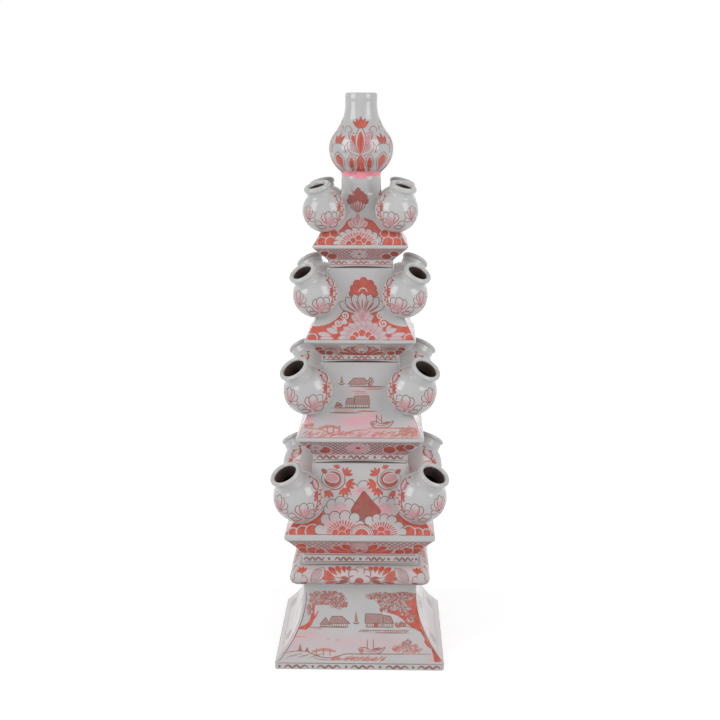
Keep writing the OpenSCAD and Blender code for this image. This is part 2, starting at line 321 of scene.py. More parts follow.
PAINT_BUMP, CLAY_BUMP = 0.1, 0.2
glaze = glazed("porcelain_glaze", (0.56, 0.553, 0.55), (0.50, 0.495, 0.497), patch=28, bump=0.06,
               wash=(0.80, 0.31, 0.38))
palette = (  # pigment, material slot, material, thin colour, pooled colour, patches in a metre
    ("red", "iron_red", "iron_red", (0.66, 0.125, 0.08), (0.44, 0.07, 0.05), 160),
    # rust is a darker brick red; on the lower roof's leaf and the top tier's palmette it is painted shade on
    # red
    ("rust", "iron_red", "brick_red_and_shaded_red", (0.47, 0.10, 0.068), (0.31, 0.065, 0.05), 160),
    ("rose", "pink_wash", "rose_wash", (0.62, 0.36, 0.37), (0.50, 0.24, 0.25), 120),
    ("sepia", "sepia_line", "sepia_line", (0.32, 0.155, 0.138), (0.22, 0.102, 0.092), 220),
    ("pink", "pink_wash", "bright_pink", (0.93, 0.34, 0.41), (0.82, 0.25, 0.32), 160),
    ("umber", "sepia_line", "umber_line", (0.42, 0.185, 0.16), (0.31, 0.135, 0.118), 220),
    ("thatch", "sepia_line", "thatch_wash", (0.43, 0.31, 0.295), (0.36, 0.24, 0.228), 120),
    ("mist", "pink_wash", "mist_wash", (0.50, 0.43, 0.437), (0.44, 0.365, 0.375), 120),
    ("coral", "iron_red", "coral_line", (0.60, 0.25, 0.20), (0.47, 0.17, 0.135), 200),
    ("white_line", "white_porcelain", "white_enamel", (0.66, 0.65, 0.65), (0.58, 0.56, 0.56), 200))
pigments = {pigment: (slot, glazed(name, thin, pooled, patch, PAINT_BUMP))
            for pigment, slot, name, thin, pooled, patch in palette}
# Painted shade: a dark brown for the inside of the globes and the bottle, where white porcelain would only be
# in shadow
inside_shade = glazed("painted_inside_shade", (0.13, 0.095, 0.085), (0.08, 0.056, 0.05), 60, CLAY_BUMP)
# The foot's clay is bare, but darker than bare porcelain: it also paints the shade in the gap under each foot
foot_clay_and_gap_shade = glazed("bare_foot_and_gap_shade", (0.36, 0.30, 0.26), (0.27, 0.215, 0.18), 60, CLAY_BUMP)
print("materials:", len(pigments), "pigments,", [m.name for m in (glaze, inside_shade, foot_clay_and_gap_shade)])

# %% [markdown]
# ## Square shells
# A tier is a square with rounded corners at every height, and the top tier's corners grow until its neck is
# round. A bevel of one size can't do that, so the shell starts as a flat grid: its rows are laid round the
# rings of the outline, its seam is merged, and the rings that shrink to a point close the floor. A fired
# foot is never quite flat: each tier's foot is arched a little, so a dark gap shows under the middle of each
# side.
# The clay under the foot is darkened, which paints more shade into that gap.

# %% Corner radius at each height
# Points of a tier's outline, counted from its middle: the spigot's top and the lower edge of the foot
SPIGOT_TOP, FOOT_EDGE = 4, 5
CORNER = 3.0
ROUND_SHARE = 0.97


def rim_index(node):
    """Index of the lower of the two outermost points of an outline: the rim's edge."""
    points = outlines[node][0]
    widest = max(p.x for p in points)
    return next(i for i, p in enumerate(points) if p.x > widest - HAIR)


top_points = outlines["top_tier"][0]
top_rim_z = top_points[rim_index("top_tier") + 2].y
neck_z = sorted(p.y for p in top_points)[-3]


def corner_radius(node, half, z):
    if node != "top_tier":
        return min(CORNER, half * ROUND_SHARE)
    share = max(0.0, min(1.0, (z - top_rim_z) / (neck_z - top_rim_z)))
    return min(CORNER + (half * ROUND_SHARE - CORNER) * share, half * ROUND_SHARE)


print("top tier turns round between", round(top_rim_z, 1), "and", round(neck_z, 1), "mm")

# %% Lay a grid round the rings
SIDE_CUTS, CORNER_CUTS = 30, 6


def ring_point(half, radius, k):
    quarter, j = divmod(k, SIDE_CUTS + CORNER_CUTS)
    flat = half - radius
    if j <= SIDE_CUTS:
        p = Vector((-flat + 2 * flat * j / SIDE_CUTS, -half))
    else:
        a = math.pi / 2 * (j - SIDE_CUTS) / CORNER_CUTS
        p = Vector((flat + radius * math.sin(a), -flat - radius * math.cos(a)))
    for _ in range(quarter % 4):
        p = Vector((-p.y, p.x))
    return p


FOOT_MARGIN, FOOT_BAND = 0.5, EDGE_ROUND + 0.2
FOOT_ARCH = {"lower_tier": 0.5, "middle_tier": 1.9, "upper_tier": 1.5, "top_tier": 1.4}


def square_shell(node):
    outline, closed = glaze_outline(node, SQUARE_STEP)
    seat = outlines[node][0][SPIGOT_TOP] if node in FOOT_ARCH else None
    rows = outline + outline[:1] if closed else outline
    around = 4 * (SIDE_CUTS + CORNER_CUTS)
    bm = bmesh.new()
    bmesh.ops.create_grid(bm, x_segments=around, y_segments=len(rows) - 1, size=1)
    for v in bm.verts:
        k = round((v.co.x + 1) / 2 * around)
        p = rows[round((v.co.y + 1) / 2 * (len(rows) - 1))]
        q = ring_point(p.x, corner_radius(node, p.x, p.y), k)
        rise = 0.0
        if seat and p.x > seat.x + FOOT_MARGIN and abs(p.y - seat.y) < FOOT_BAND:
            rise = FOOT_ARCH[node] * (1 - (min(abs(q.x), abs(q.y)) / p.x) ** 2)
        v.co = Vector((q.x, q.y, p.y + rise)) * MM
    bmesh.ops.remove_doubles(bm, verts=bm.verts, dist=WELD)
    bmesh.ops.recalc_face_normals(bm, faces=bm.faces)
    return finished(bm, f"glazed_{node}")


def finished(bm, piece):
    mesh = bpy.data.meshes.new(piece)
    bm.to_mesh(mesh)
    bm.free()
    made = bpy.data.objects.new(piece, mesh)
    scene.collection.objects.link(made)
    return made


shells = {node: square_shell(node) for node in outlines if node != "gourd_bottle"}
print({name: len(o.data.polygons) for name, o in shells.items()})

# %% [markdown]
# ## Globe spouts and the bottle
# These are thrown round, so spin turns their outline about their own axis. The record's bore mounts give
# each spout's axis. A globe is as wide as its outline's widest point, and the edge at its back gives its
# middle. That back lies behind the tier's wall, where nobody looks, and the shell is simply closed there.

# %% Find the spouts' axes
mouths = {m["name"]: m for m in frame["record"]["mounts"] if m["kind"] == "bore"}


def spout_frame(tier, corner):
    mount = mouths[f"{tier}_mouth_{corner}"]
    axis = Vector(mount["axis"])
    side = Vector((0, 0, 1)).cross(axis).normalized()
    matrix = Matrix((side, axis.cross(side), axis)).transposed().to_4x4()
    matrix.translation = Vector(mount["pos_m"])
    return matrix


class Globe:
    """A spout's globe: its node, its own frame, its radius and its middle."""

    def __init__(self, tier, corner):
        self.node = f"{tier}_spout_{corner}"
        self.matrix = spout_frame(tier, corner)
        outlines[self.node] = outline_of(self.node, self.matrix.inverted())
        widest = max(outlines[self.node][0], key=lambda p: p.x)
        bottom = min(outlines[self.node][0], key=lambda p: p.y)
        self.radius = widest.x
        self.middle_z = bottom.y + math.sqrt(widest.x ** 2 - bottom.x ** 2)
        self.middle = (self.matrix @ Vector((0, 0, self.middle_z * MM))) / MM


globes = {(t, c): Globe(t, c) for t in TIERS for c in CORNERS}
print({t: [round(v, 1) for v in (*globes[t, "front_right"].middle,
                                 globes[t, "front_right"].radius)] for t in TIERS})

# %% Turn them on the wheel
GLOBE_STEPS, BOTTLE_STEPS, BACK_STEPS = 72, 96, 8
BACK_EDGE = 0.1


def close_back(outline, middle_z):
    """Carry a globe's outer and inner curve on to its axis, behind the wall that it sits in."""
    middle = Vector((0, middle_z))
    reach = [(p - middle).length for p in outline]
    behind = [k for k, p in enumerate(outline) if p.y < middle_z]
    outer, inner = max(reach[k] for k in behind), min(reach[k] for k in behind)
    rim = [k for k in behind if min(outer - reach[k], reach[k] - inner) > BACK_EDGE]
    first = next(k for k in rim if (k - 1) % len(outline) not in rim)
    turned = outline[first:] + outline[:first]
    chain = turned[len(rim):]

    def to_axis(end):
        start, radius = math.atan2(end.y - middle_z, end.x), (end - middle).length
        turns = [start + (-math.pi / 2 - start) * k / BACK_STEPS for k in range(1, BACK_STEPS + 1)]
        return [Vector((abs(radius * math.cos(a)), middle_z + radius * math.sin(a))) for a in turns]

    return to_axis(chain[0])[::-1] + chain + to_axis(chain[-1])


def turned_shell(node, steps, matrix=Matrix(), middle_z=None):
    outline, closed = glaze_outline(node, TURN_STEP)
    if middle_z is not None:
        outline, closed = close_back(outline, middle_z), False
    bm = bmesh.new()
    ring = [bm.verts.new((0, -p.x * MM, p.y * MM)) for p in outline]
    edges = [bm.edges.new((a, b)) for a, b in zip(ring, ring[1:] + (ring[:1] if closed else []))]
    bmesh.ops.spin(bm, geom=ring + edges, cent=(0, 0, 0), axis=(0, 0, 1), angle=math.tau, steps=steps,
                   use_merge=True)
    bmesh.ops.remove_doubles(bm, verts=bm.verts, dist=WELD)
    bmesh.ops.recalc_face_normals(bm, faces=bm.faces)
    bmesh.ops.transform(bm, matrix=matrix, verts=bm.verts)
    return finished(bm, f"glazed_{node}")


for globe in globes.values():
    shells[globe.node] = turned_shell(globe.node, GLOBE_STEPS, globe.matrix, globe.middle_z)
shells["gourd_bottle"] = turned_shell("gourd_bottle", BOTTLE_STEPS)
print(len(shells), "shells for", len(frame["nodes"]), "CAD nodes")

# %% [markdown]
# ## Seats under the globes
# A potter cuts a seat into each corner and lutes the globe on. The same cut keeps the tier's corner from
# showing inside a globe's mouth. A Boolean modifier makes the cut, inside the thickness of the globe's wall,
# and its result is kept as a plain mesh.

# %% Cut the seats
SEAT_DEPTH = 2


def cut_away(target, cutter, name):
    tool = finished(cutter, name)
    cut = target.modifiers.new("seat", "BOOLEAN")
    cut.operation, cut.solver, cut.object = "DIFFERENCE", "EXACT", tool
    result = bpy.data.meshes.new_from_object(target.evaluated_get(bpy.context.evaluated_depsgraph_get()))
    target.modifiers.clear()
    target.data = result
    bpy.data.objects.remove(tool)


for tier in TIERS:
    balls = bmesh.new()
    for corner in CORNERS:
        globe = globes[tier, corner]
        place = globe.matrix @ Matrix.Translation((0, 0, globe.middle_z * MM))
        bmesh.ops.create_uvsphere(balls, u_segments=48, v_segments=24, matrix=place,
                                  radius=(globe.radius - SEAT_DEPTH) * MM)
    cut_away(shells[f"{tier}_tier"], balls, f"{tier}_seats")
print({t: len(shells[f"{t}_tier"].data.polygons) for t in TIERS})

# %% [markdown]
# ## How the painting is made
# The painter works on flat panels: across the panel is u, up along the outline is v, both in millimetres. A
# drawing is a stack of filled shapes and pen lines, and a later shape covers what lies under it. White
# means bare glaze, so a white shape is a reserve. Flattening the stack leaves pieces of paint that never
# overlap, and each is then laid on the glaze as a real, very thin layer. So the lines stay sharp at any
# distance.

# %% A sheet to draw on
PEN = 1.25  # the painter's pen is this much wider than a drawing says


class Sheet:
    def __init__(self):
        self.fills, self.lines, self.washes = [], [], []

    def fill(self, pigment, points, edge=None, width=0.6):
        shape = [Vector(p) for p in points]
        if signed_area(shape) < 0:
            shape.reverse()
        self.fills.append((pigment, shape))
        if edge:
            self.line(edge, shape + shape[:1], width)

    def line(self, pigment, points, width):
        self.lines.append((pigment, [Vector(p) for p in points], width * PEN, len(self.fills)))

    def wash(self, *spots):
        """Soft pink spots, each with its u, v, half-width, half-height and strength."""
        self.washes += spots


def signed_area(shape):
    return sum(a.cross(b) for a, b in zip(shape, shape[1:] + shape[:1])) / 2


# %% Brush shapes
BRUSH_STEP, OVAL_STEP, OVAL_POINTS = 1.2, 0.9, 8
PETAL_ROUND, PETAL_POINTS = 0.75, 10


def blob(*points):
    return through([Vector(p) for p in points], BRUSH_STEP, closed=True)


def stroke(*points):
    return through([Vector(p) for p in points], BRUSH_STEP)


def oval(x, y, rx, ry=None, start=0, end=360, turn=0):
    ry = ry or rx
    n = max(OVAL_POINTS, math.ceil((rx + ry) / 2 * math.radians(end - start) / OVAL_STEP))
    c, s = math.cos(math.radians(turn)), math.sin(math.radians(turn))
    out = []
    for k in range(n + (end - start < 360)):
        a = math.radians(start + (end - start) * k / n)
        p, q = rx * math.cos(a), ry * math.sin(a)
        out.append(Vector((x + p * c - q * s, y + p * s + q * c)))
    return out


def petal(x0, y0, x1, y1, width, full=1.0):
    """A petal or leaf from its foot to its tip; it is widest at 0.5 ** (1 / full) of its length."""
    n, foot, tip = PETAL_POINTS, Vector((x0, y0)), Vector((x1, y1))
    along = tip - foot
    across = Vector((-along.y, along.x)).normalized() * width / 2
    side = [(t, math.sin(math.pi * t ** full) ** PETAL_ROUND) for t in (k / n for k in range(n + 1))]
    return ([foot + along * t - across * h for t, h in side]
            + [foot + along * t + across * h for t, h in side[-2:0:-1]])


def star(x, y, r, points, inner, start):
    out = []
    for k in range(points * 2):
        a, d = math.radians(start + 180 * k / points), r if k % 2 == 0 else r * inner
        out.append(Vector((x + d * math.cos(a), y + d * math.sin(a))))
    return out


print("a petal has", len(petal(0, 0, 0, 10, 4)), "points")


# %% [markdown]
# A panel knows the outline that it lies on. It turns (u, v) into a point in space at a given lift above the
# solid's surface, following the outline upwards and the rounded corner sideways.

# %% Panels of a square piece
PAINT_LIFT, LINE_LIFT = -0.06, -0.01
PANEL_STEP, RESERVE_STEP = 1.5, 1.5
CORNER_REACH, CORNER_MOST = 0.3, 0.9  # shares of the corner's radius
PANEL_END, PANEL_SIDE, PANEL_NEAR = 0.05, 0.5, 1.6


class Panel:
    """One side of a square piece, from one point of its outline to another, given by their numbers."""

    def __init__(self, node, first, last, turn=0):
        points, closed = outlines[node]
        soft = soften(points, closed, PANEL_STEP)
        ends = [min(range(len(soft)), key=lambda i: (soft[i] - points[k]).length) for k in (first, last)]
        past_the_seam = soft[ends[0]:] + soft[:ends[1] + 1]
        self.run = soft[ends[0]:ends[1] + 1] or past_the_seam
        self.node, self.turn = node, Matrix.Rotation(math.radians(turn), 3, "Z")
        self.reach = [0.0]
        for a, b in zip(self.run, self.run[1:]):
            self.reach.append(self.reach[-1] + (b - a).length)
        self.length = self.reach[-1]

    def at(self, v):
        v = max(0.0, min(self.length, v))
        k = max(i for i in range(len(self.run) - 1) if self.reach[i] <= v)
        a, b = self.run[k], self.run[k + 1]
        along = (b - a).normalized()
        return a.lerp(b, (v - self.reach[k]) / (b - a).length), Vector((along.y, -along.x))

    def edge(self, v):
        p, _ = self.at(v)
        return p.x - CORNER_REACH * corner_radius(self.node, p.x, p.y)

    def clip(self, p):
        limit = self.edge(p.y)
        return Vector((max(-limit, min(limit, p.x)), max(PANEL_END, min(self.length - PANEL_END, p.y))))

    def corners(self, gap):
        """Extra points on the rounded corners, so that paint follows them."""
        out = []
        for k in range(int(self.length / gap) + 1):
            limit, (p, _) = self.edge(k * gap), self.at(k * gap)
            start = p.x - corner_radius(self.node, p.x, p.y)
            for t in (0, 0.25, 0.5, 0.75, 1):
                u = start + (limit - start) * t
                out += [Vector((u, k * gap)), Vector((-u, k * gap))]
        return out

    def place(self, u, v, lift):
        p, out = self.at(v)
        radius = corner_radius(self.node, p.x, p.y)
        over = max(0.0, min(abs(u) - p.x + radius, radius * CORNER_MOST))
        a = math.copysign(math.asin(over / radius), u)
        x = u if not over else math.copysign(p.x - radius, u) + radius * math.sin(a)
        y = -(p.x - radius) - radius * math.cos(a)
        raised = Vector((x + math.sin(a) * out.x * lift, y - math.cos(a) * out.x * lift, p.y + out.y * lift))
        return self.turn @ raised * MM

    def find(self, p):
        """Where a point of the front side lies on the panel, if it lies on it at all."""
        p = self.turn.transposed() @ p
        if -p.y < abs(p.x) - PANEL_SIDE:
            return None
        flat = Vector((-p.y, p.z))
        k = min(range(len(self.run)), key=lambda i: (self.run[i] - flat).length_squared)
        return Vector((p.x, self.reach[k])) if (self.run[k] - flat).length < PANEL_NEAR else None

    def reserve(self, globe, margin):
        """The part of the panel that lies within a margin of a globe."""
        left, right = [], []
        for k in range(int(self.length / RESERVE_STEP) + 1):
            p, _ = self.at(k * RESERVE_STEP)
            gap = (globe.radius + margin) ** 2 - (p.x + globe.middle.y) ** 2 - (p.y - globe.middle.z) ** 2
            if gap > 0:
                left.append(Vector((globe.middle.x - math.sqrt(gap), k * RESERVE_STEP)))
                right.append(Vector((globe.middle.x + math.sqrt(gap), k * RESERVE_STEP)))
        return right + left[::-1]


panels = {}
for tier in TIERS:
    node, i = f"{tier}_tier", rim_index(f"{tier}_tier")
    panels[tier, "foot"], panels[tier, "under"] = Panel(node, i - 3, i - 2), Panel(node, i - 2, i - 1)
    panels[tier, "roof"] = Panel(node, i + 2, i + (11 if tier == "top" else 10))
panels["pedestal", "foot"], panels["pedestal", "side"] = Panel("pedestal", 0, 1), Panel("pedestal", 2, 10)
panels["pedestal", "flank"] = Panel("pedestal", 2, 10, turn=90)
panels["pedestal", "cushion"] = Panel("pedestal", 16, 28)
print({key: (round(p.length, 1), round(p.run[0].x, 1), round(p.run[-1].x, 1)) for key, p in panels.items()})

# %% [markdown]
# Globes and the bottle are painted from the front as well. A globe's drawing is centred where the painter
# looks at it, and the bottle's wraps round its belly.

# %% Round surfaces
DRAWN_RADIUS, DRAWN_REACH = 27.4, 26.6
GLOBE_NEAR, GLOBE_FACING = 0.03, 0.1  # shares of the radius
BELLY_NEAR, BOTTLE_LIP, NECK_NEAR = 1.2, 2.5, 0.01


class GlobeFace:
    """A drawing on a globe as seen from one direction: u runs to the right and v upwards.

    It is drawn for a globe of DRAWN_RADIUS and grows or shrinks with the globe that it is laid on."""

    def __init__(self, globe, azimuth, elevation):
        a, e = math.radians(azimuth), math.radians(elevation)
        self.globe = globe
        self.out = Vector((math.sin(a) * math.cos(e), -math.cos(a) * math.cos(e), math.sin(e)))
        self.right = Vector((0, 0, 1)).cross(self.out).normalized()
        self.up = self.out.cross(self.right)

    def clip(self, p):
        return p * min(1.0, DRAWN_REACH / max(p.length, WELD))

    def place(self, u, v, lift):
        x, y = u / DRAWN_RADIUS, v / DRAWN_RADIUS
        d = self.right * x + self.up * y + self.out * math.sqrt(max(0.0, 1 - x * x - y * y))
        return (self.globe.middle + d.normalized() * (self.globe.radius + lift)) * MM

    def find(self, p):
        d = (p - self.globe.middle) / self.globe.radius
        if abs(d.length - 1) > GLOBE_NEAR or d.dot(self.out) < GLOBE_FACING:
            return None
        return Vector((d.dot(self.right), d.dot(self.up))) * DRAWN_RADIUS


class Belly:
    """The bottle and the neck below it, seen from one azimuth: u runs round it and v is the height itself."""

    def __init__(self, azimuth=0):
        points = outlines["gourd_bottle"][0]
        neck = [p for p in outlines["top_tier"][0] if p.y >= neck_z - NECK_NEAR][:2]
        top = max(p.y for p in points)
        lip = next(i for i, p in enumerate(points) if p.y > top - BOTTLE_LIP)
        self.run, self.turn = neck + points[1:lip], math.radians(azimuth)
        self.wide = max(p.x for p in points)

    def spot(self, z):
        k = next((i for i in range(len(self.run) - 2) if self.run[i + 1].y >= z), len(self.run) - 2)
        a, b = self.run[k], self.run[k + 1]
        return a.lerp(b, max(0, min(1, (z - a.y) / max(WELD, b.y - a.y)))), (b - a).normalized()

    def radius(self, z):
        return self.spot(z)[0].x

    def clip(self, p):
        return p

    def find(self, p):
        a = math.remainder(math.atan2(p.x, -p.y) - self.turn, math.tau)
        r = self.radius(p.z)
        return Vector((a * r, p.z)) if abs(math.hypot(p.x, p.y) - r) < BELLY_NEAR else None

    def place(self, u, z, lift):
        p, along = self.spot(z)
        t, r = u / p.x + self.turn, p.x + along.y * lift
        return Vector((r * math.sin(t), -r * math.cos(t), p.y - along.x * lift)) * MM


belly = Belly()
print("bottle is", round(belly.wide * 2, 1), "mm wide and painted from",
      [round(belly.run[k].y, 1) for k in (0, -1)])

# %% [markdown]
# Flattening uses a constrained Delaunay triangulation. A lattice of extra points keeps each triangle small
# enough to follow a curved wall. The last shape drawn over a triangle gives its pigment. Pen lines become
# narrow ribbons with thin ends, and a stretch of line that a later shape covers is left out.

# %% Flatten a sheet and lay it on a surface
LATTICE, FINE_LATTICE, CORNER_GAP = 2.6, 1.5, 0.8
FILL_GAP, LINE_GAP, LOOP_GAP = 0.02, 0.05, 0.1
LINE_SPREAD, LINE_END = 0.035, 0.45
KEEP_INSIDE, SAME_SPOT = 1, 1e-4
paint = {}


def paint_layer(layer):
    """The mesh that gathers one body's paint of one pigment, kept apart by how many sides it is copied to."""
    if layer not in paint:
        paint[layer] = bmesh.new()
    return paint[layer]


def inside(p, shape):
    hit = False
    for a, b in zip(shape, shape[1:] + shape[:1]):
        if (a.y > p.y) != (b.y > p.y) and p.x < (b.x - a.x) * (p.y - a.y) / (b.y - a.y) + a.x:
            hit = not hit
    return hit


def finely(points, gap):
    """The same line with points no further apart than the gap."""
    out = points[:1]
    for a, b in zip(points, points[1:]):
        n = max(1, math.ceil((b - a).length / gap))
        out += [a.lerp(b, k / n) for k in range(1, n + 1)]
    return out


def lay_fills(sheet, surface, body, sides, lattice):
    if not sheet.fills:
        return
    points, faces = [], []
    for pigment, shape in sheet.fills:
        shape = [surface.clip(p) for p in finely(shape + shape[:1], lattice)]
        kept = [p for k, p in enumerate(shape) if (p - shape[k - 1]).length > FILL_GAP]
        faces.append(list(range(len(points), len(points) + len(kept))))
        points += kept
    low = Vector((min(p.x for p in points), min(p.y for p in points)))
    high = Vector((max(p.x for p in points), max(p.y for p in points)))
    for j in range(int((high.y - low.y) / lattice) + 1):
        for i in range(int((high.x - low.x) / lattice) + 1):
            points.append(low + Vector((i + 0.5 * (j % 2), j)) * lattice)
    if isinstance(surface, Panel):
        points += surface.corners(CORNER_GAP)
    spots, _, tris, _, _, owners = geometry.delaunay_2d_cdt(points, [], faces, KEEP_INSIDE, SAME_SPOT, True)
    made = {}
    for tri, owner in zip(tris, owners):
        pigment = sheet.fills[max(owner)][0] if owner else "white"
        if pigment == "white":
            continue
        layer = paint_layer((body, pigment, sides))
        corners = []
        for k in tri:
            if (pigment, k) not in made:
                made[pigment, k] = layer.verts.new(surface.place(*spots[k], PAINT_LIFT))
            corners.append(made[pigment, k])
        layer.faces.new(corners)


def lay_lines(sheet, surface, body, sides, lattice):
    boxes = [(min(p.x for p in s), max(p.x for p in s), min(p.y for p in s), max(p.y for p in s))
             for _, s in sheet.fills]
    for order, (pigment, points, width, after) in enumerate(sheet.lines):
        lift = LINE_LIFT - LINE_SPREAD * (1 - order / len(sheet.lines))
        points = [surface.clip(p) for p in finely(points, lattice)]
        points = [p for k, p in enumerate(points) if k == 0 or (p - points[k - 1]).length > LINE_GAP]
        if len(points) < 2:
            continue
        later = [(b, s) for b, (_, s) in zip(boxes[after:], sheet.fills[after:])]
        layer, before = paint_layer((body, pigment, sides)), None
        loop = (points[0] - points[-1]).length < LOOP_GAP
        for k, p in enumerate(points):
            a, b = points[max(0, k - 1)], points[min(len(points) - 1, k + 1)]
            if any(x0 <= p.x <= x1 and y0 <= p.y <= y1 and inside(p, s) for (x0, x1, y0, y1), s in later):
                before = None
                continue
            along = (b - a).normalized()
            t = k / (len(points) - 1)
            half = width / 2 * (1 if loop else LINE_END + (1 - LINE_END) * math.sin(math.pi * t) ** 0.5)
            across = Vector((-along.y, along.x)) * half
            pair = [layer.verts.new(surface.place(*q, lift)) for q in (p - across, p + across)]
            if before:
                layer.faces.new((before[0], pair[0], pair[1], before[1]))
            before = pair


def lay(sheet, surface, body, sides):
    lattice = FINE_LATTICE if surface is panels["pedestal", "cushion"] else LATTICE
    lay_fills(sheet, surface, body, sides, lattice)
    lay_lines(sheet, surface, body, sides, lattice)


print("paint stands", PAINT_ROOM + PAINT_LIFT, "mm above the glaze")

# %% [markdown]
# ## Motifs that come back
# The painting draws on a small stock of traditional motifs: half daisies that grow from a rim, peonies with
# round lobes, lotus flowers, scale rings, trellis and zigzag bands. Each is a function that draws at a place.

# %% Flowers and rings
RING, DAISY_STROKES = 1.3, 34
CURL_POINTS, CURL_TURN = 25, 24
SPRIG_FINGERS, SPRIG_SPREAD = 4, 40
STRIPE_START, STRIPE_END = 0.3, 0.72
SCALLOPS, SCALLOP_INNER = 5, 0.7


def disc(s, x, y, outer, inner, colour="red"):
    """A round of one colour with a white rim."""
    s.fill("white", oval(x, y, outer))
    s.fill(colour, oval(x, y, inner))


def lobes(s, circles, hub, edge="sepia", width=0.7, colour="white"):
    for x, y, r in circles:
        s.fill(colour, oval(x, y, r), edge, width)
    s.fill(colour, oval(*hub))


def half_daisy(s, x, wide, high, heart):
    """A mat of fine radial strokes with red buds at its heart, standing on the panel's lower edge."""
    s.fill("rose", oval(x, 0, wide, high, 0, 180))
    for k in range(DAISY_STROKES):
        a = math.pi * (k + 0.5) / DAISY_STROKES
        c, d = math.cos(a) * wide, math.sin(a) * high
        colour, reach, width = (("red", (0.5, 0.8, 1.06), 0.8) if k % 2 else
                                ("white_line", (0.72, 0.9, 1.12), 0.5))
        s.line(colour, [(x + c * t, d * t) for t in reach], width)
    for bx, by, r in heart:
        disc(s, bx, by, r + 0.7, r)


def curl(s, x, y, r, way, start, width):
    points = []
    for k in range(CURL_POINTS):
        a, d = math.radians(start + CURL_TURN * k), r * (1 - k / (CURL_POINTS + 1))
        points.append((x + way * d * math.cos(a), y + d * math.sin(a)))
    s.line("white_line", points, width)


def lotus(s, x, y, tips, width, full=1.7, fill="white", edge="sepia", stripes=True, line=0.6):
    for tx, ty in tips:
        s.fill(fill, petal(x, y, tx, ty, width, full), edge, line)
        if stripes:
            dx, dy = tx - x, ty - y
            stripe = stroke(*[(x + dx * t, y + dy * t) for t in (STRIPE_START, STRIPE_END)])
            s.line("umber", stripe, line * 1.5)
            s.wash((x + dx * 0.5, y + dy * 0.5, 5, 5, 0.08))


def sprig(s, x, y, size, angle):
    """A small leaf of narrow fingers."""
    middle = math.radians(angle)
    foot = x - size * 0.35 * math.cos(middle), y - size * 0.35 * math.sin(middle)
    for k in range(SPRIG_FINGERS):
        a = math.radians(angle + (k - (SPRIG_FINGERS - 1) / 2) * SPRIG_SPREAD)
        s.fill("red", petal(*foot, x + size * math.cos(a), y + size * math.sin(a), size * 0.42, 1.4))


def bush(s, x, y, wide, high, chance, count, colours, seed, edge="coral"):
    """Leafy clumps inside an oval: small scallops, drawn from the top down, some of them filled."""
    dice = random.Random(seed)
    spots = []
    for _ in range(count):
        a, d = dice.uniform(0, math.tau), math.sqrt(dice.random())
        spots.append((y + high * d * math.sin(a), x + wide * d * math.cos(a), dice.uniform(1.2, 2.0)))
    for py, px, r in sorted(spots, reverse=True):
        colour = dice.choice(colours) if dice.random() < chance else "white"
        s.fill(colour, blob(*star(px, py, r, SCALLOPS, SCALLOP_INNER, dice.uniform(0, 360 / SCALLOPS))), edge,
               0.5)


# %% Bands and trellis
RULE_PARTS, RULE_END = 60, 0.3
TRELLIS_END, TRELLIS_SIDE = 0.3, 0.6


def zigzag(s, start, end, v, high, count, colour, width):
    n = int(count * 2)
    turns = [(start + (end - start) * k / n, v + (high if k % 2 else -high) / 2) for k in range(n + 1)]
    s.line(colour, stroke(*turns), width)


def trellis(s, panel, cell, colour, width):
    wide, n = panel.run[-1].x, int(panel.run[-1].x * 2 / cell) + 2
    for k in range(-n, n):
        for lean in (1, -1):
            x = k * cell
            ends = [(x, TRELLIS_END), (x + lean * panel.length, panel.length - TRELLIS_END)]
            inner = [p for p in stroke(*ends) if abs(p.x) < panel.edge(p.y) - TRELLIS_SIDE]
            if len(inner) > 2:
                s.line(colour, inner, width)
    s.wash((0, panel.length / 2, wide, panel.length, 0.25))


def scales(s, spots, colour="red"):
    """Round scales with a white rim; each covers the ones before it."""
    for x, y, r in spots:
        disc(s, x, y, r, r - 1, colour)


def rule(s, panel, v, colour, width):
    wide = panel.edge(v) - RULE_END
    s.line(colour, [(-wide + 2 * wide * k / RULE_PARTS, v) for k in range(RULE_PARTS + 1)], width)


def foot_band(s, piece, zigzags, v, high, teeth, dots, dot, rules, colour="sepia", width=1.8):
    """Zigzags with dots between them, and the rules that frame them."""
    for start, end in zigzags:
        zigzag(s, start, end, v, high, teeth, colour, width)
    for x in dots:
        s.fill("sepia", oval(x, v, dot))
    for height, line, line_width in rules:
        rule(s, panels[piece, "foot"], height, line, line_width)


def fan(s, colour, petals, wide, narrow, full, spread):
    """Petals that spread from the panel's lower edge, each in a wider white one."""
    for x, tx, ty in petals:
        s.fill("white", petal(x, 0, tx * spread, ty * 1.06, wide, full))
        s.fill(colour, petal(x, 0, tx, ty, narrow, full))


print("motifs are ready")

# %% [markdown]
# ## The lower tier
# Its roof carries the richest panel: two half daisies and a ringed disc on the rim, three peonies round a
# brick red leaf whose darker red also paints shade, and two pink buds under the lip, all on a red ground that
# stops short of the globes.

# %% Lower roof
def reserves(s, tier, margin):
    for corner in ("front_left", "front_right"):
        s.fill("white", panels[tier, "roof"].reserve(globes[tier, corner], margin))


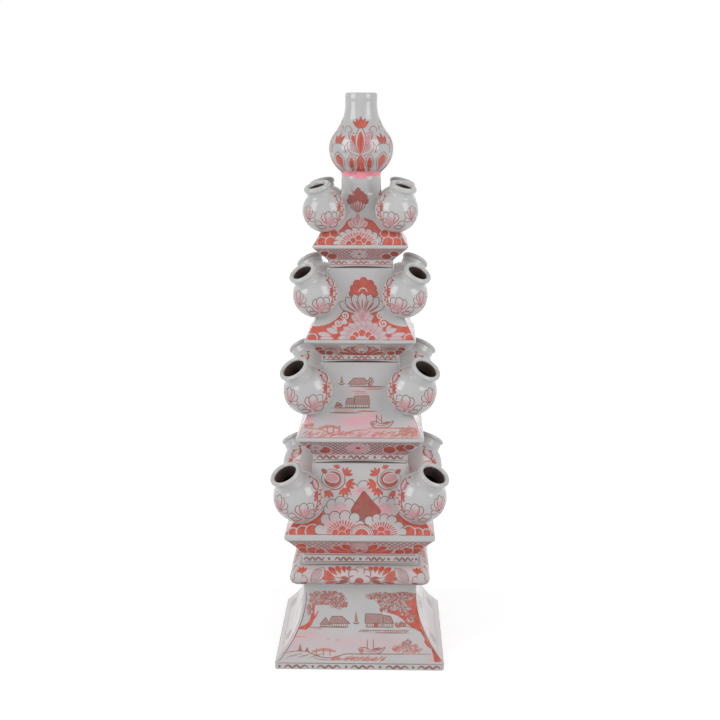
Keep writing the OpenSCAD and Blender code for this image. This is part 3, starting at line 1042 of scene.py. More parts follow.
def lower_roof(s):
    s.fill("red", [(-80, 0), (80, 0), (72, 15), (58, 18), (50, 22), (45, 30), (41, 37), (36, 30), (30, 20),
                   (-30, 20), (-36, 30), (-41, 37), (-45, 30), (-50, 22), (-58, 18), (-72, 15)])
    reserves(s, "lower", 2)
    for x, r in ((-70, 5), (-60, 6.5), (-49.5, 7.5), (70, 4.8), (61, 5.5), (51.5, 6.8)):
        disc(s, x, r * 0.55, r + 0.8, r + 0.8 - RING)
    lobes(s, ((-8, 43, 6), (-5, 48, 6.3), (4, 52, 6.7), (11.5, 48.5, 6), (15, 43, 5.5)), (4, 43, 13, 9.5))
    lobes(s, ((-33, 27.5, 5.5), (-29.5, 33, 5.8), (-20.5, 36, 6), (-11.5, 34, 5.5)), (-20, 27, 14, 9))
    lobes(s, ((19.5, 34.5, 6), (26.5, 36, 6), (33.5, 34, 6), (37, 28.5, 5.5)), (27, 27, 13, 9))
    for x, y, r in ((-21, 30, 8), (27, 29, 8), (4, 46, 8)):
        for k in range(9):
            a = math.radians(20 + 17.5 * k)
            c, d = math.cos(a), math.sin(a)
            s.line("rose", [(x + r * 0.5 * c, y + r * 0.35 * d), (x + r * c, y + r * 0.8 * d)], 0.6)
    # The leaf's darker brick red is partly painted shade
    s.fill("rust", blob((4, 47.5), (8.5, 43), (13.5, 37), (19, 31), (22, 25.5), (13, 20), (4, 16), (-4, 20),
                        (-9.5, 26), (-6.5, 33), (-1, 41)), "sepia")
    for x, top in ((-3, 33), (0, 37), (2.5, 42), (5, 43), (7.5, 38), (10.5, 34), (14, 29)):
        s.line("sepia", stroke((4, 17), (x * 0.8 + 1, (17 + top) / 2), (x, top)), 0.7)
    lobes(s, ((-42, 6, 5.6), (-35.5, 17, 6), (-26.5, 20, 6), (-15.5, 21, 5.8), (-5.5, 19, 5.5), (0.5, 11, 5)),
          (-19, 4, 21, 14))
    half_daisy(s, -17, 18, 16, ((-18, 6, 4.2), (-25, 2.4, 4), (-11.5, 3.4, 4), (-18.5, 0.4, 4)))
    lobes(s, ((10, 16, 5), (18, 18.5, 5), (26, 18.5, 5), (34, 16.5, 5.4), (40.5, 10, 5.4), (45, 4, 4.6)),
          (25, 3, 18, 14))
    half_daisy(s, 23, 16.5, 14.5, ((22.5, 5.6, 4.2), (16, 3, 3.8), (29, 2.4, 3.8), (22.5, 0.2, 3.8)))
    s.fill("white", oval(2, 0, 13, 12, 0, 180), "sepia")
    for r, colour in (
            (11.6, "red"), (10.9, "white"), (9.6, "red"), (9, "white"), (7.2, "red"), (1.6, "white")):
        s.fill(colour, oval(2, 0, r, r, 0, 180))
    for x, way in ((-30, 1), (32, -1)):
        s.line("sepia", oval(x, 60.5, 11, 10), 0.6)
        s.fill("rust", oval(x + way, 60, 9, 8.4))
        s.fill("rust", petal(x - 4 * way, 65, x - 11 * way, 71, 5, 1.3))
        s.fill("rose", oval(x, 61.5, 7.6, 4.8, turn=-18 * way), "white_line", 0.7)
        for px, py, size, angle in (
                (15, 66, 7.5, 55), (17.5, 55, 8, -20), (13, 48.5, 7.5, -75), (-3, 46, 7, 250),
                (-13, 56, 5, 200), (5, 72.5, 4.5, 75)):
            sprig(s, x + px * way, py, size, angle if way > 0 else 180 - angle)
        s.line("rust", stroke((x - 2 * way, 49), (x + 8 * way, 50), (x + 13.5 * way, 56),
                              (x + 13.5 * way, 64)), 1.0)
    s.wash((1, 47, 8, 4, 0.8), (-22, 28.5, 10, 4, 0.75), (22, 31, 8, 5, 0.5), (28, 27, 9, 4, 0.6),
           (-32, 13, 7, 6, 0.5), (-19, 10, 11, 8, 0.5), (23, 10, 10, 7, 0.4), (-62, 60, 12, 20, 0.2),
           (62, 60, 12, 20, 0.2))


def lower_under(s):
    trellis(s, panels["lower", "under"], 6.2, "umber", 1.1)
    for way in (-1, 1):
        scales(s, ((way * 62, 14, 6.6), (way * 60, 6, 6.6), (way * 50, 6.5, 7), (way * 42, 4, 6)))
    s.fill("red", [(-35, 0.2), (35, 0.2), (29, 10), (16, 17), (-16, 17), (-29, 10)])
    fan(s, "red", ((-6, -36, 6), (6, 36, 6), (-6, -29, 14), (6, 29, 14), (-5, -18, 18.5), (5, 18, 18.5)),
        11, 8.6, 2.2, 1.04)
    s.fill("white", oval(-0.5, 12, 10, 11.5), "sepia")
    for r in (8.2, 6.4, 4.6):
        s.line("red", oval(-0.5, 12 - (8.2 - r) * 0.8, r, r * 1.1), 0.7)
    s.fill("red", petal(-0.5, 2, -0.5, 10, 5.5, 0.9))
    rule(s, panels["lower", "under"], 0.5, "red", 0.7)


def lower_foot(s):
    foot_band(s, "lower", ((-60, -38), (-27, -5), (6, 27), (36, 57)), 6.8, 2.8, 3.5, (-33, 0.5, 30.5, 60),
              1.6, [(v, "sepia", 0.8) for v in (2, 3.9, 11.3)])


# %% [markdown]
# ## The middle tier
# A landscape in brown and rust pen work: a sailing boat, thatched houses on spits of land, a bridge, and
# water in a wash of pink.

# %% House, boat, bridge and pen hatching
THATCH_GAP = 1.8


def hatch(s, x0, x1, y0, y1, gap, colour, width, lean=0.0):
    for k in range(int((x1 - x0) / gap) + 1):
        x = x0 + k * gap
        s.line(colour, [(x, y0), (x + lean * (y1 - y0) / 2, (y0 + y1) / 2), (x + lean * (y1 - y0), y1)],
               width)


def house(s, roof, x0, x1, ground, eaves, colour="umber", thatch="thatch"):
    s.fill(thatch, roof, "sepia", 0.7)
    low, high = min(p[0] for p in roof), max(p[0] for p in roof)
    top = max(p[1] for p in roof)
    for k in range(int((high - low) / THATCH_GAP)):
        x = low + THATCH_GAP / 2 + k * THATCH_GAP
        reach = [p for p in stroke((x, eaves), (x, top)) if inside(p, [Vector(q) for q in roof])]
        if len(reach) > 1:
            s.line(colour, reach, 0.55)
    for x in (x0, x1):
        s.line("sepia", [(x, eaves), (x, ground)], 0.7)
    hatch(s, x0 + 1.5, x1 - 1, ground + 0.4, eaves, 2.4, colour, 0.8)
    s.line("sepia", [(x0 - 1, ground), ((x0 + x1) / 2, ground), (x1 + 1, ground)], 0.8)


def boat(s, x0, x1, y, masts):
    """A round-hulled boat with furled sails."""
    wide, middle = x1 - x0, (x0 + x1) / 2
    hull = blob((x0, y + 3.4), (x0 + wide * 0.07, y), (middle, y - 1.8), (x1 - wide * 0.12, y + 0.6),
                (x1, y + 5.4), (x1 - wide * 0.1, y + 4.2), (middle, y + 2.2), (x0 + wide * 0.18, y + 5))
    s.fill("white", hull, "umber", 0.8)
    s.line("umber", stroke((x0 + wide * 0.12, y + 2), (middle, y + 0.4), (x1 - wide * 0.1, y + 2.6)), 0.6)
    s.fill("coral", petal(x0 + wide * 0.02, y + 2.4, x0 + wide * 0.22, y + 1.6, 4))
    s.fill("umber", petal(middle, y + 3, x1 - wide * 0.14, y + 4.8, 1.8))
    for x, high in masts:
        s.line("umber", [(x, y + 2), (x + 0.2, (y + high) / 2), (x, high)], 0.8)


def sail(s, x, y, high):
    s.fill("coral", [(x - 1.3, y + 1.6), (x - 0.2, y + high), (x + 1.6, y + 1.8)], "sepia", 0.4)
    s.line("sepia", stroke((x - 3.4, y + 1), (x, y - 0.2), (x + 3.4, y + 1)), 1.0)


def bridge(s, x0, x1, y, posts):
    s.line("coral", stroke((x0, y - 2), ((x0 + x1) / 2, y + 0.4), (x1, y - 1.5)), 1.5)
    for x in posts:
        s.line("coral", [(x, y - 6), (x, y - 2), (x, y + 2.2)], 1.3)
    s.line("coral", stroke((x0, y - 0.4), ((x0 + x1) / 2, y + 2), (x1, y)), 0.6)


def spit(s, x0, x1, y, thick, colour="coral"):
    s.fill(colour, blob((x0, y), ((x0 * 2 + x1) / 3, y + thick * 0.5), ((x0 + x1 * 2) / 3, y + thick * 0.4),
                        (x1, y), ((x0 + x1) / 2, y - thick * 0.4)))


# %% Middle tier
def middle_roof(s):
    sail(s, -19.5, 57.4, 9)
    house(s, [(-13, 57.5), (-7, 64), (4, 64), (9, 57.5)], -10, 7, 55.6, 57.8)
    bush(s, 10.5, 60, 2.6, 3.6, 0.7, 14, ("sepia", "coral"), 3, "sepia")
    spit(s, -13, 27, 55.2, 1.6, "sepia")
    for v, x0, x1 in ((53.5, 2, 25), (52, 6, 22), (50, -9, 6), (48, -6, 8)):
        s.line("coral", [(x0, v), ((x0 + x1) / 2, v + 0.2), (x1, v)], 0.7)
    house(s, [(-6, 36.5), (-6, 45), (9, 45.5), (10, 36.5)], -5, 9.5, 33, 36.5)
    house(s, [(-15.5, 36.5), (-13.5, 42.5), (-6.5, 43), (-6.2, 36.5)], -15, -7, 33, 36.5)
    bush(s, -23, 35, 3.6, 2, 0.6, 12, ("coral",), 5, "sepia")
    spit(s, -33, 13, 32.3, 1.2, "sepia")
    spit(s, -33, 3, 27.2, 1.6, "sepia")
    spit(s, -6, 19, 29, 2.2)
    hatch(s, -28, -8, 27.4, 31.5, 2.1, "coral", 0.5, 0.8)
    boat(s, 11, 35, 13.5, ((17, 26), (22.5, 26)))
    s.line("umber", stroke((17, 25.5), (19.5, 21), (24, 17.5)), 0.6)
    bush(s, 50, 7, 9, 5.5, 0.2, 50, ("coral",), 8)
    bush(s, -52, 13.5, 5, 2.6, 0.3, 12, ("coral",), 9)
    bridge(s, -44, -20, 12, (-34, -27.5, -21.5))
    s.line("coral", stroke((-60, 11.4), (-50, 10.4), (-40, 9.2), (-30, 5), (-18, 4.6), (-8, 8), (8, 9.6)),
           0.9)
    s.line("coral", stroke((8, 10.8), (30, 11.3), (60, 11)), 0.9)
    dice = random.Random(4)
    for _ in range(110):
        x, y, tall = dice.uniform(-60, 58), dice.uniform(0.6, 5.5), dice.uniform(1.5, 4)
        s.line("coral", stroke((x, y), (x + 2, y + tall * 0.6), (x + 4.5, y + tall)), 0.55)
    s.wash((-5, 18, 20, 6, 0.75), (12, 24, 10, 3, 0.55), (-2, 49, 13, 6, 0.3), (-55, 19, 6, 7, 0.75),
           (20, 5, 26, 6, 0.6), (-30, 4, 24, 5, 0.45), (58, 10, 6, 8, 0.5))


def middle_under(s):
    trellis(s, panels["middle", "under"], 5.2, "sepia", 0.95)
    s.fill("white", oval(-2, 12.5, 12.5, 9.5))
    for k in range(9):
        a = math.radians(40 * k + 12)
        s.fill("white", petal(-2, 12.5, -2 + 11.5 * math.cos(a), 12.5 + 9 * math.sin(a), 6, 1.7), "rose", 0.7)
    s.fill("rust", oval(-2, 12.5, 2.6, 2.2))
    scales(s, ((44, 13, 7.4), (52, 15, 6), (31, 9.5, 7.4), (-52, 15, 5.5), (-37, 8.5, 7)), "rust")
    s.fill("white", oval(-46, 13.5, 7))
    s.line("sepia", oval(-46, 13.5, 6.2), 0.6)
    s.fill("rose", oval(-46, 13, 3.4, 3))
    s.wash((-28, 4, 20, 4, 0.5), (30, 4, 20, 4, 0.4), (-2, 12, 8, 6, 0.5))


def middle_foot(s):
    foot_band(s, "middle", ((-46, -22), (-13, 9), (22, 46)), 6.2, 2.6, 3.5, (-17, 15.5), 1.5,
              [(3.2, "sepia", 0.8)])


# %% [markdown]
# ## The upper tier
# A scalloped palmette over a striped lotus, a small pink lotus and a half daisy, on a red ground with curls.

# %% Upper tier
def palmette(s, circles, hub, arch, colour):
    lobes(s, circles, hub, "rust", 0.8, colour)
    x, y, r = arch
    s.line("white_line", oval(x, y, r, None, 0, 180), 0.9)
    for k in range(7):
        a = math.radians(30 + 20 * k)
        s.line("rust", [(x + (r + t) * math.cos(a), y + (r + t) * math.sin(a)) for t in (1, 3.5, 6)], 0.6)


def upper_roof(s):
    s.fill("red", [(-58, 0), (58, 0), (52, 15), (40, 19), (29, 30), (23, 41), (17, 36), (10, 31), (-10, 31),
                   (-15, 36), (-20, 41), (-25, 31), (-31, 20), (-42, 16), (-52, 15)])
    reserves(s, "upper", 9)
    palmette(s, ((3.2, 63.2, 3.6), (-3.6, 60.4, 3.6), (10, 60.4, 3.6), (-7, 55.6, 3.5), (13.2, 55.6, 3.5),
                 (-8.4, 50, 3.3), (14.6, 50, 3.3)), (3, 52.5, 10.4, 9.4), (2.6, 51.5, 4.2), "red")
    lotus(s, 2, 25, ((-21.5, 41), (25.5, 41), (-15, 46), (19, 46), (-7, 49.5), (11, 49.5), (2, 51)), 9.5, 2.3,
          line=0.7)
    for x, y, r, way, start in (
            (-16, 27, 4.6, 1, 200), (-23, 18.5, 4.2, -1, 120), (21, 27.5, 4.4, -1, 200),
            (24, 18.5, 4.8, 1, 60), (-16.5, 19.5, 2.6, 1, 300)):
        curl(s, x, y, r, way, start, width=1.4)
    for x0, y0, x1, y1 in ((0, 19, -10, 25), (5, 19, 14.5, 26.5)):
        s.fill("white", petal(x0, y0, x1, y1, 5.4), "sepia", 0.5)
    lotus(s, 2, 18, ((-9, 27), (13, 27), (-5.5, 31), (9.5, 31), (2, 34)), 6, fill="white", edge="rose",
          stripes=False, line=0.8)
    s.fill("rose", petal(2, 20, 2, 31, 3.6, 1.6))
    for k in range(11):
        a = math.radians(4 + 17.2 * k)
        s.fill("white", petal(3, 0, 3 + 26 * math.cos(a), 1 + 21.5 * math.sin(a), 8, 1.9), "rose", 0.8)
    for k in range(34):
        a = math.radians(3 + 5.2 * k)
        s.line("rose", [(3 + 11 * math.cos(a), 9.5 * math.sin(a)), (3 + 20 * math.cos(a), 17 * math.sin(a))],
               0.6)
    for x, y, r in ((2, 8, 3.6), (-4.5, 6, 3.1), (8.5, 6, 3.1), (-7.5, 1.8, 3.4), (12.5, 1.8, 3.4)):
        disc(s, x, y, r + 0.8, r)
    s.fill("white", oval(2.5, 0, 3.6, 3.6, 0, 180))
    for x0, y0, x1, y1, w in (
            (-23, 8, -35, 12.5, 6), (-30, 5, -44, 7.5, 5), (-27, 2, -42, 2, 4.4), (-24, 11, -29, 16, 4),
            (26, 8, 38, 12.5, 6), (32, 5, 47, 7.5, 5), (29, 2, 45, 2, 4.4), (27, 11, 32, 16, 4)):
        s.fill("white", petal(x0, y0, x1, y1, w), "rose", 0.6)
    for x in (-49.5, 51):
        disc(s, x, 2, 5.8, 5.8 - RING)
    s.wash((2, 26, 7, 5, 0.8), (2, 40, 16, 8, 0.2), (4, 12, 16, 6, 0.4), (36, 5, 10, 4, 0.35),
           (-30, 6, 10, 4, 0.3))


def upper_under(s):
    for way in (-1, 1):
        for k in range(11):
            s.line("umber", stroke(*[(way * (x + k * gap), y) for x, gap, y in
                                     ((17, 1.9, 1), (19, 2.2, 10), (23, 2.5, 20))]), 1.0)
            s.line("umber", stroke((way * (46 - k * 1.4), 6 + k), (way * (40 - k * 1.6), 2 + k)), 0.8)
        scales(s, ((way * 43, 12, 5), (way * 40, 5.5, 5.6), (way * 32, 4.5, 5)), "rust")
    s.fill("rust", [(-24, 0.2), (26, 0.2), (22, 12), (12, 18), (-10, 18), (-20, 12)])
    fan(s, "rust", ((-3, -23, 6), (5, 25, 6), (-3, -18, 13), (5, 20, 13), (-3, -9, 17), (5, 11, 17)),
        7.6, 5.8, 2.1, 1.06)
    s.fill("white", oval(1, 11.5, 7.4, 8.4), "sepia", 0.6)
    for r in (5.8, 4.0):
        s.line("red", oval(1, 10.4, r, r * 1.2), 0.7)
    s.fill("red", petal(1, 4, 1, 9.5, 3.4))


def upper_foot(s):
    foot_band(s, "upper", ((-34, -17), (-8, 11), (20, 38)), 5, 2.4, 3, (-38, -12, 16), 1.4,
              [(2.6, "sepia", 0.8)], "umber")


# %% [markdown]
# ## The top tier, the bottle and the pedestal
# The top tier repeats the upper one at a smaller size, and its palmette climbs onto the round neck.

# %% Top tier
def top_roof(s):
    s.fill("red", [(-50, 0), (50, 0), (44, 14), (32, 18), (20, 21), (12, 28), (4, 31), (-9, 31), (-15, 27),
                   (-21, 20), (-32, 16), (-44, 14)])
    reserves(s, "top", 3)
    # The palmette's petals are in the darker brick red, which paints the shade on them
    for tx, ty in ((-14, 52), (8, 52), (-12, 57.5), (6, 57), (-7.6, 60), (2.2, 60), (-2.8, 64)):
        s.fill("rust", petal(-3, 45, tx, ty, 7.6, 1.5), "sepia", 0.6)
    lotus(s, -3, 36, ((-10, 47), (4, 47), (-6.4, 49), (0.6, 49), (-3, 50.5)), 4.8, 1.9, fill="rose", line=0.6)
    lotus(s, -2.8, 18, ((-12, 26.5), (6.6, 26.5), (-7.6, 31.5), (2.2, 31.5), (-2.8, 37)), 6, fill="rose",
          edge="white_line", stripes=False)
    scales(s, [(way * x - 1, y, r) for way in (-1, 1) for x, y, r in
               ((42, 11, 5), (34, 11.5, 5.4), (26, 13, 5), (46, 4, 5.6), (38, 3.5, 6), (29.5, 4, 6))])
    turns = [math.radians(a) for a in range(4, 180, 19)]
    lobes(s, [(-2.3 + 21.5 * math.cos(a), 16 * math.sin(a), 4.4) for a in turns], (-2.3, 0, 20.5, 16))
    half_daisy(s, -2.3, 18.5, 14, ((-1.6, 8, 3.2), (-7.4, 5.4, 3), (4, 5.4, 3), (8.6, 2.4, 2.8),
                                   (-11.6, 2.2, 2.8), (-1.6, 2, 3.4)))
    s.wash((-3, 26, 8, 6, 0.5), (-2, 12, 16, 6, 0.5))


def top_under(s):
    trellis(s, panels["top", "under"], 4.6, "umber", 0.95)
    scales(s, ((-37, 11, 5.4), (35, 11, 5.4), (-29, 6.5, 5.8), (27, 6, 5.8)), "rust")
    turns = [math.radians(a) for a in range(0, 360, 45)]
    lobes(s, [(-1 + 6.4 * math.cos(a), 10.5 + 5.4 * math.sin(a), 3.6) for a in turns], (-1, 10.5, 5, 4.5),
          width=0.5)
    s.fill("umber", oval(-1, 10.5, 2, 1.7))


def top_foot(s):
    foot_band(s, "top", ((-31, -14), (-8, 9), (15, 31)), 5.4, 2.0, 3, (), 0,
              [(3, "coral", 0.8)], "umber", 1.3)


# %% Pedestal
def tree(s, trunk, width, crowns, seed):
    points = stroke(*trunk)
    n = len(points) - 1
    left, right = [], []
    for k, p in enumerate(points):
        along = (points[min(n, k + 1)] - points[max(0, k - 1)]).normalized()
        half = width / 2 * (1 - 0.6 * k / n)
        left.append(p + Vector((-along.y, along.x)) * half)
        right.append(p - Vector((-along.y, along.x)) * half)
    s.fill("red", left + right[::-1])
    for k, (x, y, wide, high, chance, count) in enumerate(crowns):
        bush(s, x, y, wide, high, chance, count, ("coral", "red"), seed + k, "umber")


def pedestal_side(s):
    s.fill("red", [(64, 74), (50, 73), (49, 66), (45.5, 57.5), (38.5, 54.5), (29, 53), (38.5, 50.5),
                   (45.5, 46.5), (51, 40.5), (58, 36.5), (65.5, 32.5), (70, 25.5), (69.5, 21.5), (72.5, 17.5),
                   (77, 14.5), (79, 7), (80, 1), (90, 1), (89, 6), (82.5, 14), (75.5, 24), (70.5, 31),
                   (67, 41), (64, 53), (64, 62)], "rust", 0.6)
    for x, y, wide, high, chance, count, seed in (
            (24, 70, 17, 3.6, 0.4, 84, 41), (46, 70, 13, 4.5, 0.5, 76, 44), (34, 62, 15, 6, 0.35, 96, 42),
            (29, 56, 7, 3, 0.4, 22, 43), (48.5, 55, 6, 5.5, 0.05, 34, 45), (55, 46, 3.6, 4.5, 0, 16, 46)):
        bush(s, x, y, wide, high, chance, count, ("coral", "red", "rust"), seed, "umber")
    for points in (((80, 10), (74, 20), (69, 31), (64, 42), (60.5, 56)), ((86, 4), (79, 14), (73, 24))):
        s.line("rust", stroke(*points), 0.6)
    tree(s, ((-60, 35), (-54, 40), (-51, 47), (-50, 58), (-46, 66)), 5.4,
         ((-34, 68, 19, 7.5, 0.45, 150), (-48, 67, 7, 7, 0.45, 50),
         (-23, 61, 9, 4.5, 0.45, 44), (-54, 55, 2.6, 5.5, 0.4, 20)), 20)
    tree(s, ((-52.5, 43), (-48, 47.5), (-44.5, 54)), 2.6, (), 30)
    s.fill("red", petal(-66, 34.5, -52, 38.5, 4.5))
    house(s, [(-43, 39.5), (-37, 47), (-31.5, 39.5)], -42, -33, 37, 39.8)
    house(s, [(-34, 40.5), (-30, 48), (-19, 48), (-10.5, 40.5)], -31, -13, 37, 40.5)
    s.line("umber", stroke((-56, 36), (-36, 36.6), (-14, 36.2)), 0.8)
    sail(s, -4, 40.6, 12.5)
    house(s, [(5.5, 41), (6, 51), (24, 50.6), (25.5, 41)], 7, 24, 37, 41)
    house(s, [(25, 41), (24.6, 49.5), (33, 48.5), (36.5, 41)], 25.5, 35.5, 37, 41)
    s.fill("rust", [(15, 37.2), (19.5, 37.2), (19.5, 40.8), (15, 40.8)])
    bush(s, 43, 39.5, 5, 2.4, 0.5, 20, ("coral",), 11, "umber")
    s.line("umber", stroke((40, 37.2), (52, 37.6), (60, 35.5)), 0.7)
    hatch(s, -2, 50, 31.4, 34.6, 2.2, "umber", 0.6, 1.5)
    spit(s, 2, 34, 33.4, 1.2, "umber")
    spit(s, 16, 54, 31, 1.5, "umber")
    boat(s, -1, 27, 10.5, ((8, 24), (14.5, 24.5)))
    bridge(s, -51, -25, 12, (-46, -38.5, -31.5))
    for x, tall in ((-63.5, 19), (-56, 15.5)):
        s.fill("umber", [(x - 2.6, 10.5), (x, tall), (x + 2.4, 10.5)])
    s.line("umber", stroke((-82, 8.5), (-68, 11), (-54, 10), (-46, 6.4), (-36, 4), (-26, 5), (-16, 8),
                           (0, 8.4), (30, 8.6), (76, 9)), 0.9)
    s.line("umber", stroke((-48, 3.6), (-40, 2), (-28, 1.6)), 0.6)
    bush(s, 51, 14, 15, 5, 0.15, 84, ("coral",), 13, "coral")
    bush(s, 50, 20, 5, 3.5, 0.2, 22, ("coral",), 14, "umber")
    dice = random.Random(6)
    for _ in range(80):
        x, y, tall = dice.uniform(-32, 26), dice.uniform(0.5, 3.6), dice.uniform(1, 3.4)
        s.line("coral", stroke((x, y), (x + 2, y + tall * 0.6), (x + 4.6, y + tall)), 0.7)
    for k in range(9):
        s.line("umber", stroke((-78 + 4 * k, 3 + k % 3), (-74 + 4 * k, 5.5 + k % 3),
                               (-69 + 4 * k, 6.6 + k % 3)), 0.45)
    for v, x0, x1 in ((26, -72, -58), (34.5, -50, -40), (24, -36, -32), (23, -26, -20)):
        s.line("rose", [(x0, v), ((x0 + x1) / 2, v + 0.3), (x1, v)], 0.9)
    s.line("sepia", [(-panels["pedestal", "side"].edge(v) + 2.4, v) for v in range(0, 76, 2)], 0.8)
    s.wash((-60, 29, 18, 4, 0.35), (-25, 20, 40, 9, 0.22), (30, 20, 34, 8, 0.2), (80, 4, 6, 6, 0.5),
           (-70, 20, 10, 12, 0.2))


def pedestal_flank(s):
    """The flanks' landscape is faint: pale grey-rose pen work that has nearly fired away."""
    for x, y, wide, high, count, seed in (
            (-34, 65, 18, 6, 80, 61), (34, 66, 18, 6, 80, 62), (48, 16, 9, 5, 40, 63),
            (-50, 14, 10, 4, 40, 64)):
        bush(s, x, y, wide, high, 0.3, count, ("mist",), seed, "mist")
    s.fill("mist", blob((-48, 35), (-44, 44), (-46, 58), (-43, 64), (-41, 58), (-41, 44), (-42, 35)))
    house(s, [(-22, 41), (-17, 49), (2, 49), (8, 41)], -19, 5, 37, 41, "mist", "mist")
    for x0, x1, v in ((-50, 20, 36), (6, 56, 30), (-70, -30, 20)):
        spit(s, x0, x1, v, 2.4, "mist")
    s.line("mist", stroke((-80, 8), (-40, 7), (-10, 8.5), (30, 7.5), (78, 9)), 0.9)
    s.wash((-40, 24, 24, 7, 0.2), (10, 26, 30, 6, 0.2), (60, 26, 14, 9, 0.2), (58, 50, 6, 14, 0.12),
           (0, 10, 90, 14, 0.12), (-60, 40, 16, 30, 0.1))


def pedestal_cushion(s):
    for way in (-1, 1):
        for x0, y0, x1, y1, w in (
                (13, 26, 10.5, 32.5, 4.4), (16, 24, 17.5, 33, 4.8), (20, 22, 25, 33, 5.2),
                (24, 21, 33, 31, 5.6), (26, 18.5, 40, 25.5, 5.4), (25, 16.5, 40.5, 18, 5),
                (23, 14, 37, 11, 4.4)):
            s.fill("red", petal(way * x0, y0, way * x1, y1, w, 1.5), "umber", 0.5)
        for x0, y0, x1, y1 in ((13, 13, 27, 9.5), (11, 17, 20, 19), (12, 15, 22, 14)):
            s.fill("rust", petal(way * x0, y0, way * x1, y1, 3.2), "sepia", 0.4)
        s.line("umber", stroke((way * 9, 13), (way * 17, 17), (way * 25, 19)), 0.9)
        s.fill("white", petal(way * 38, 30, way * 51, 12, 12, 1.0), "umber", 0.6)
        for k in range(5):
            s.line("umber", stroke((way * (40 + k), 28), (way * (41.5 + 2 * k), 21),
                                   (way * (46 + 1.3 * k), 14)), 0.5)
        sprig(s, way * 61, 25, 6.5, 90 - way * 15)
        lobes(s, ((way * 60, 16, 4.4), (way * 65, 20, 4.4), (way * 67.5, 13.5, 4)), (way * 64.5, 16, 3.8),
              "umber", 0.6)
        s.fill("rust", petal(way * 55, 12, way * 63, 9, 3.4))
    for k in range(6):
        a = math.radians(60 * k + 30)
        s.fill("white", oval(7.6 * math.cos(a), 19 + 7.4 * math.sin(a), 5.2), "umber", 0.85)
    s.fill("white", oval(0, 19, 6, 5.4))
    s.fill("red", oval(-0.5, 14.5, 4.2, 3.8), "sepia", 0.5)
    rule(s, panels["pedestal", "cushion"], 9, "umber", 0.5)
    s.wash(*[(u, 18, 22, 12, 0.13) for u in (-50, -18, 18, 50)])


def pedestal_foot(s):
    foot_band(s, "pedestal", ((-80, -54), (-45, -20), (-9, 16), (28, 52), (62, 86)), 3.4, 2.6, 3,
              (-85, -49.5, -14, 22, 57), 1.5, [(7.2, "sepia", 0.7)], width=1.7)


print("drawings are ready")

# %% [markdown]
# ## Spouts and bottle
# Each globe has a lotus towards the front, a second one on its outer side, and a vine with a bud on its
# inner side. The bottle has a crowned leaf on each of its four sides, buds between them, red drops round
# its foot and a bright pink band over the joint.

# %% Lotus and vine on a globe
def front_lotus(s, way):
    def p(x, y):
        return way * x, y

    for tip, width in (((0, -7.5), 8.5), ((16, -5), 9), ((20, -12), 5), ((7.5, -4.6), 9)):
        s.fill("white", petal(*p(5, -20), *p(*tip), width, 1.5), "sepia", 0.7)
    for foot, tip, width in (
            ((-1, -20), (-10.5, -18), 6.5), ((4, -23), (-7, -22.5), 4), ((7, -22.5), (17.5, -17.5), 4)):
        s.fill("white", petal(*p(*foot), *p(*tip), width, 1.2), "sepia", 0.6)
    s.fill("rose", petal(*p(3.5, -21), *p(15, -14), 4.5, 1.0))
    for tip in ((4, -11), (9, -10), (13, -10)):
        s.line("rose", stroke(p(5, -18), p(*tip)), 0.7)
    s.line("rust", stroke(p(13.5, 21), p(16, 19.5), p(20.4, 9), p(20.6, 1), p(20, -8), p(17.5, -14)), 0.7)
    s.fill("rose", petal(*p(20.3, 8), *p(16, 19.5), 5.6, 0.9), "rust", 0.6)
    s.fill("red", [p(*q) for q in ((20, 7), (18.4, 6.6), (16.6, 6.6), (18.2, 3.8), (16.6, 2.2), (18, 0.2),
                                   (16.8, -3), (19.4, -4), (20.2, 0.5))])
    s.line("coral", stroke(p(21.6, 9), p(23.6, 4), p(23.6, -3), p(21.4, -9), p(18, -14.5)), 0.6)
    for x0, y0, x1, y1 in (
            (13.6, 20.6, 11, 22.4), (15.2, 16.6, 12.8, 14.6), (22.4, 7.4, 25, 7.8), (23.4, 4.4, 21.4, 2.6),
            (23.8, 0.6, 25.9, -0.6), (23.4, -3, 21.2, -4.6), (22.8, -5.8, 24.4, -8), (21.2, -9.2, 18.6, -9),
            (19.8, -11.8, 21.4, -14), (18, -14.4, 15.6, -13)):
        s.fill("rust" if y0 > 12 else "red", petal(*p(x0, y0), *p(x1, y1), 1.9))
    s.wash((way * 6, -16.5, 7.5, 5, 0.8))


def outer_lotus(s):
    for tip, width in (((-11, 0), 6), ((11, 0), 6), ((-6, 6), 7), ((6, 6), 7), ((0, 8.5), 8)):
        s.fill("white", petal(0, -9, *tip, width, 1.6), "sepia", 0.6)
    for x in (-3, 0, 3):
        s.line("rose", stroke((x * 0.3, -7), (x, 2.5)), 0.7)
    for way in (-1, 1):
        s.fill("white", petal(way * 1, -11, way * 10, -7.5, 5, 1.1), "sepia", 0.6)
    s.wash((0, -4, 6, 6, 0.8))


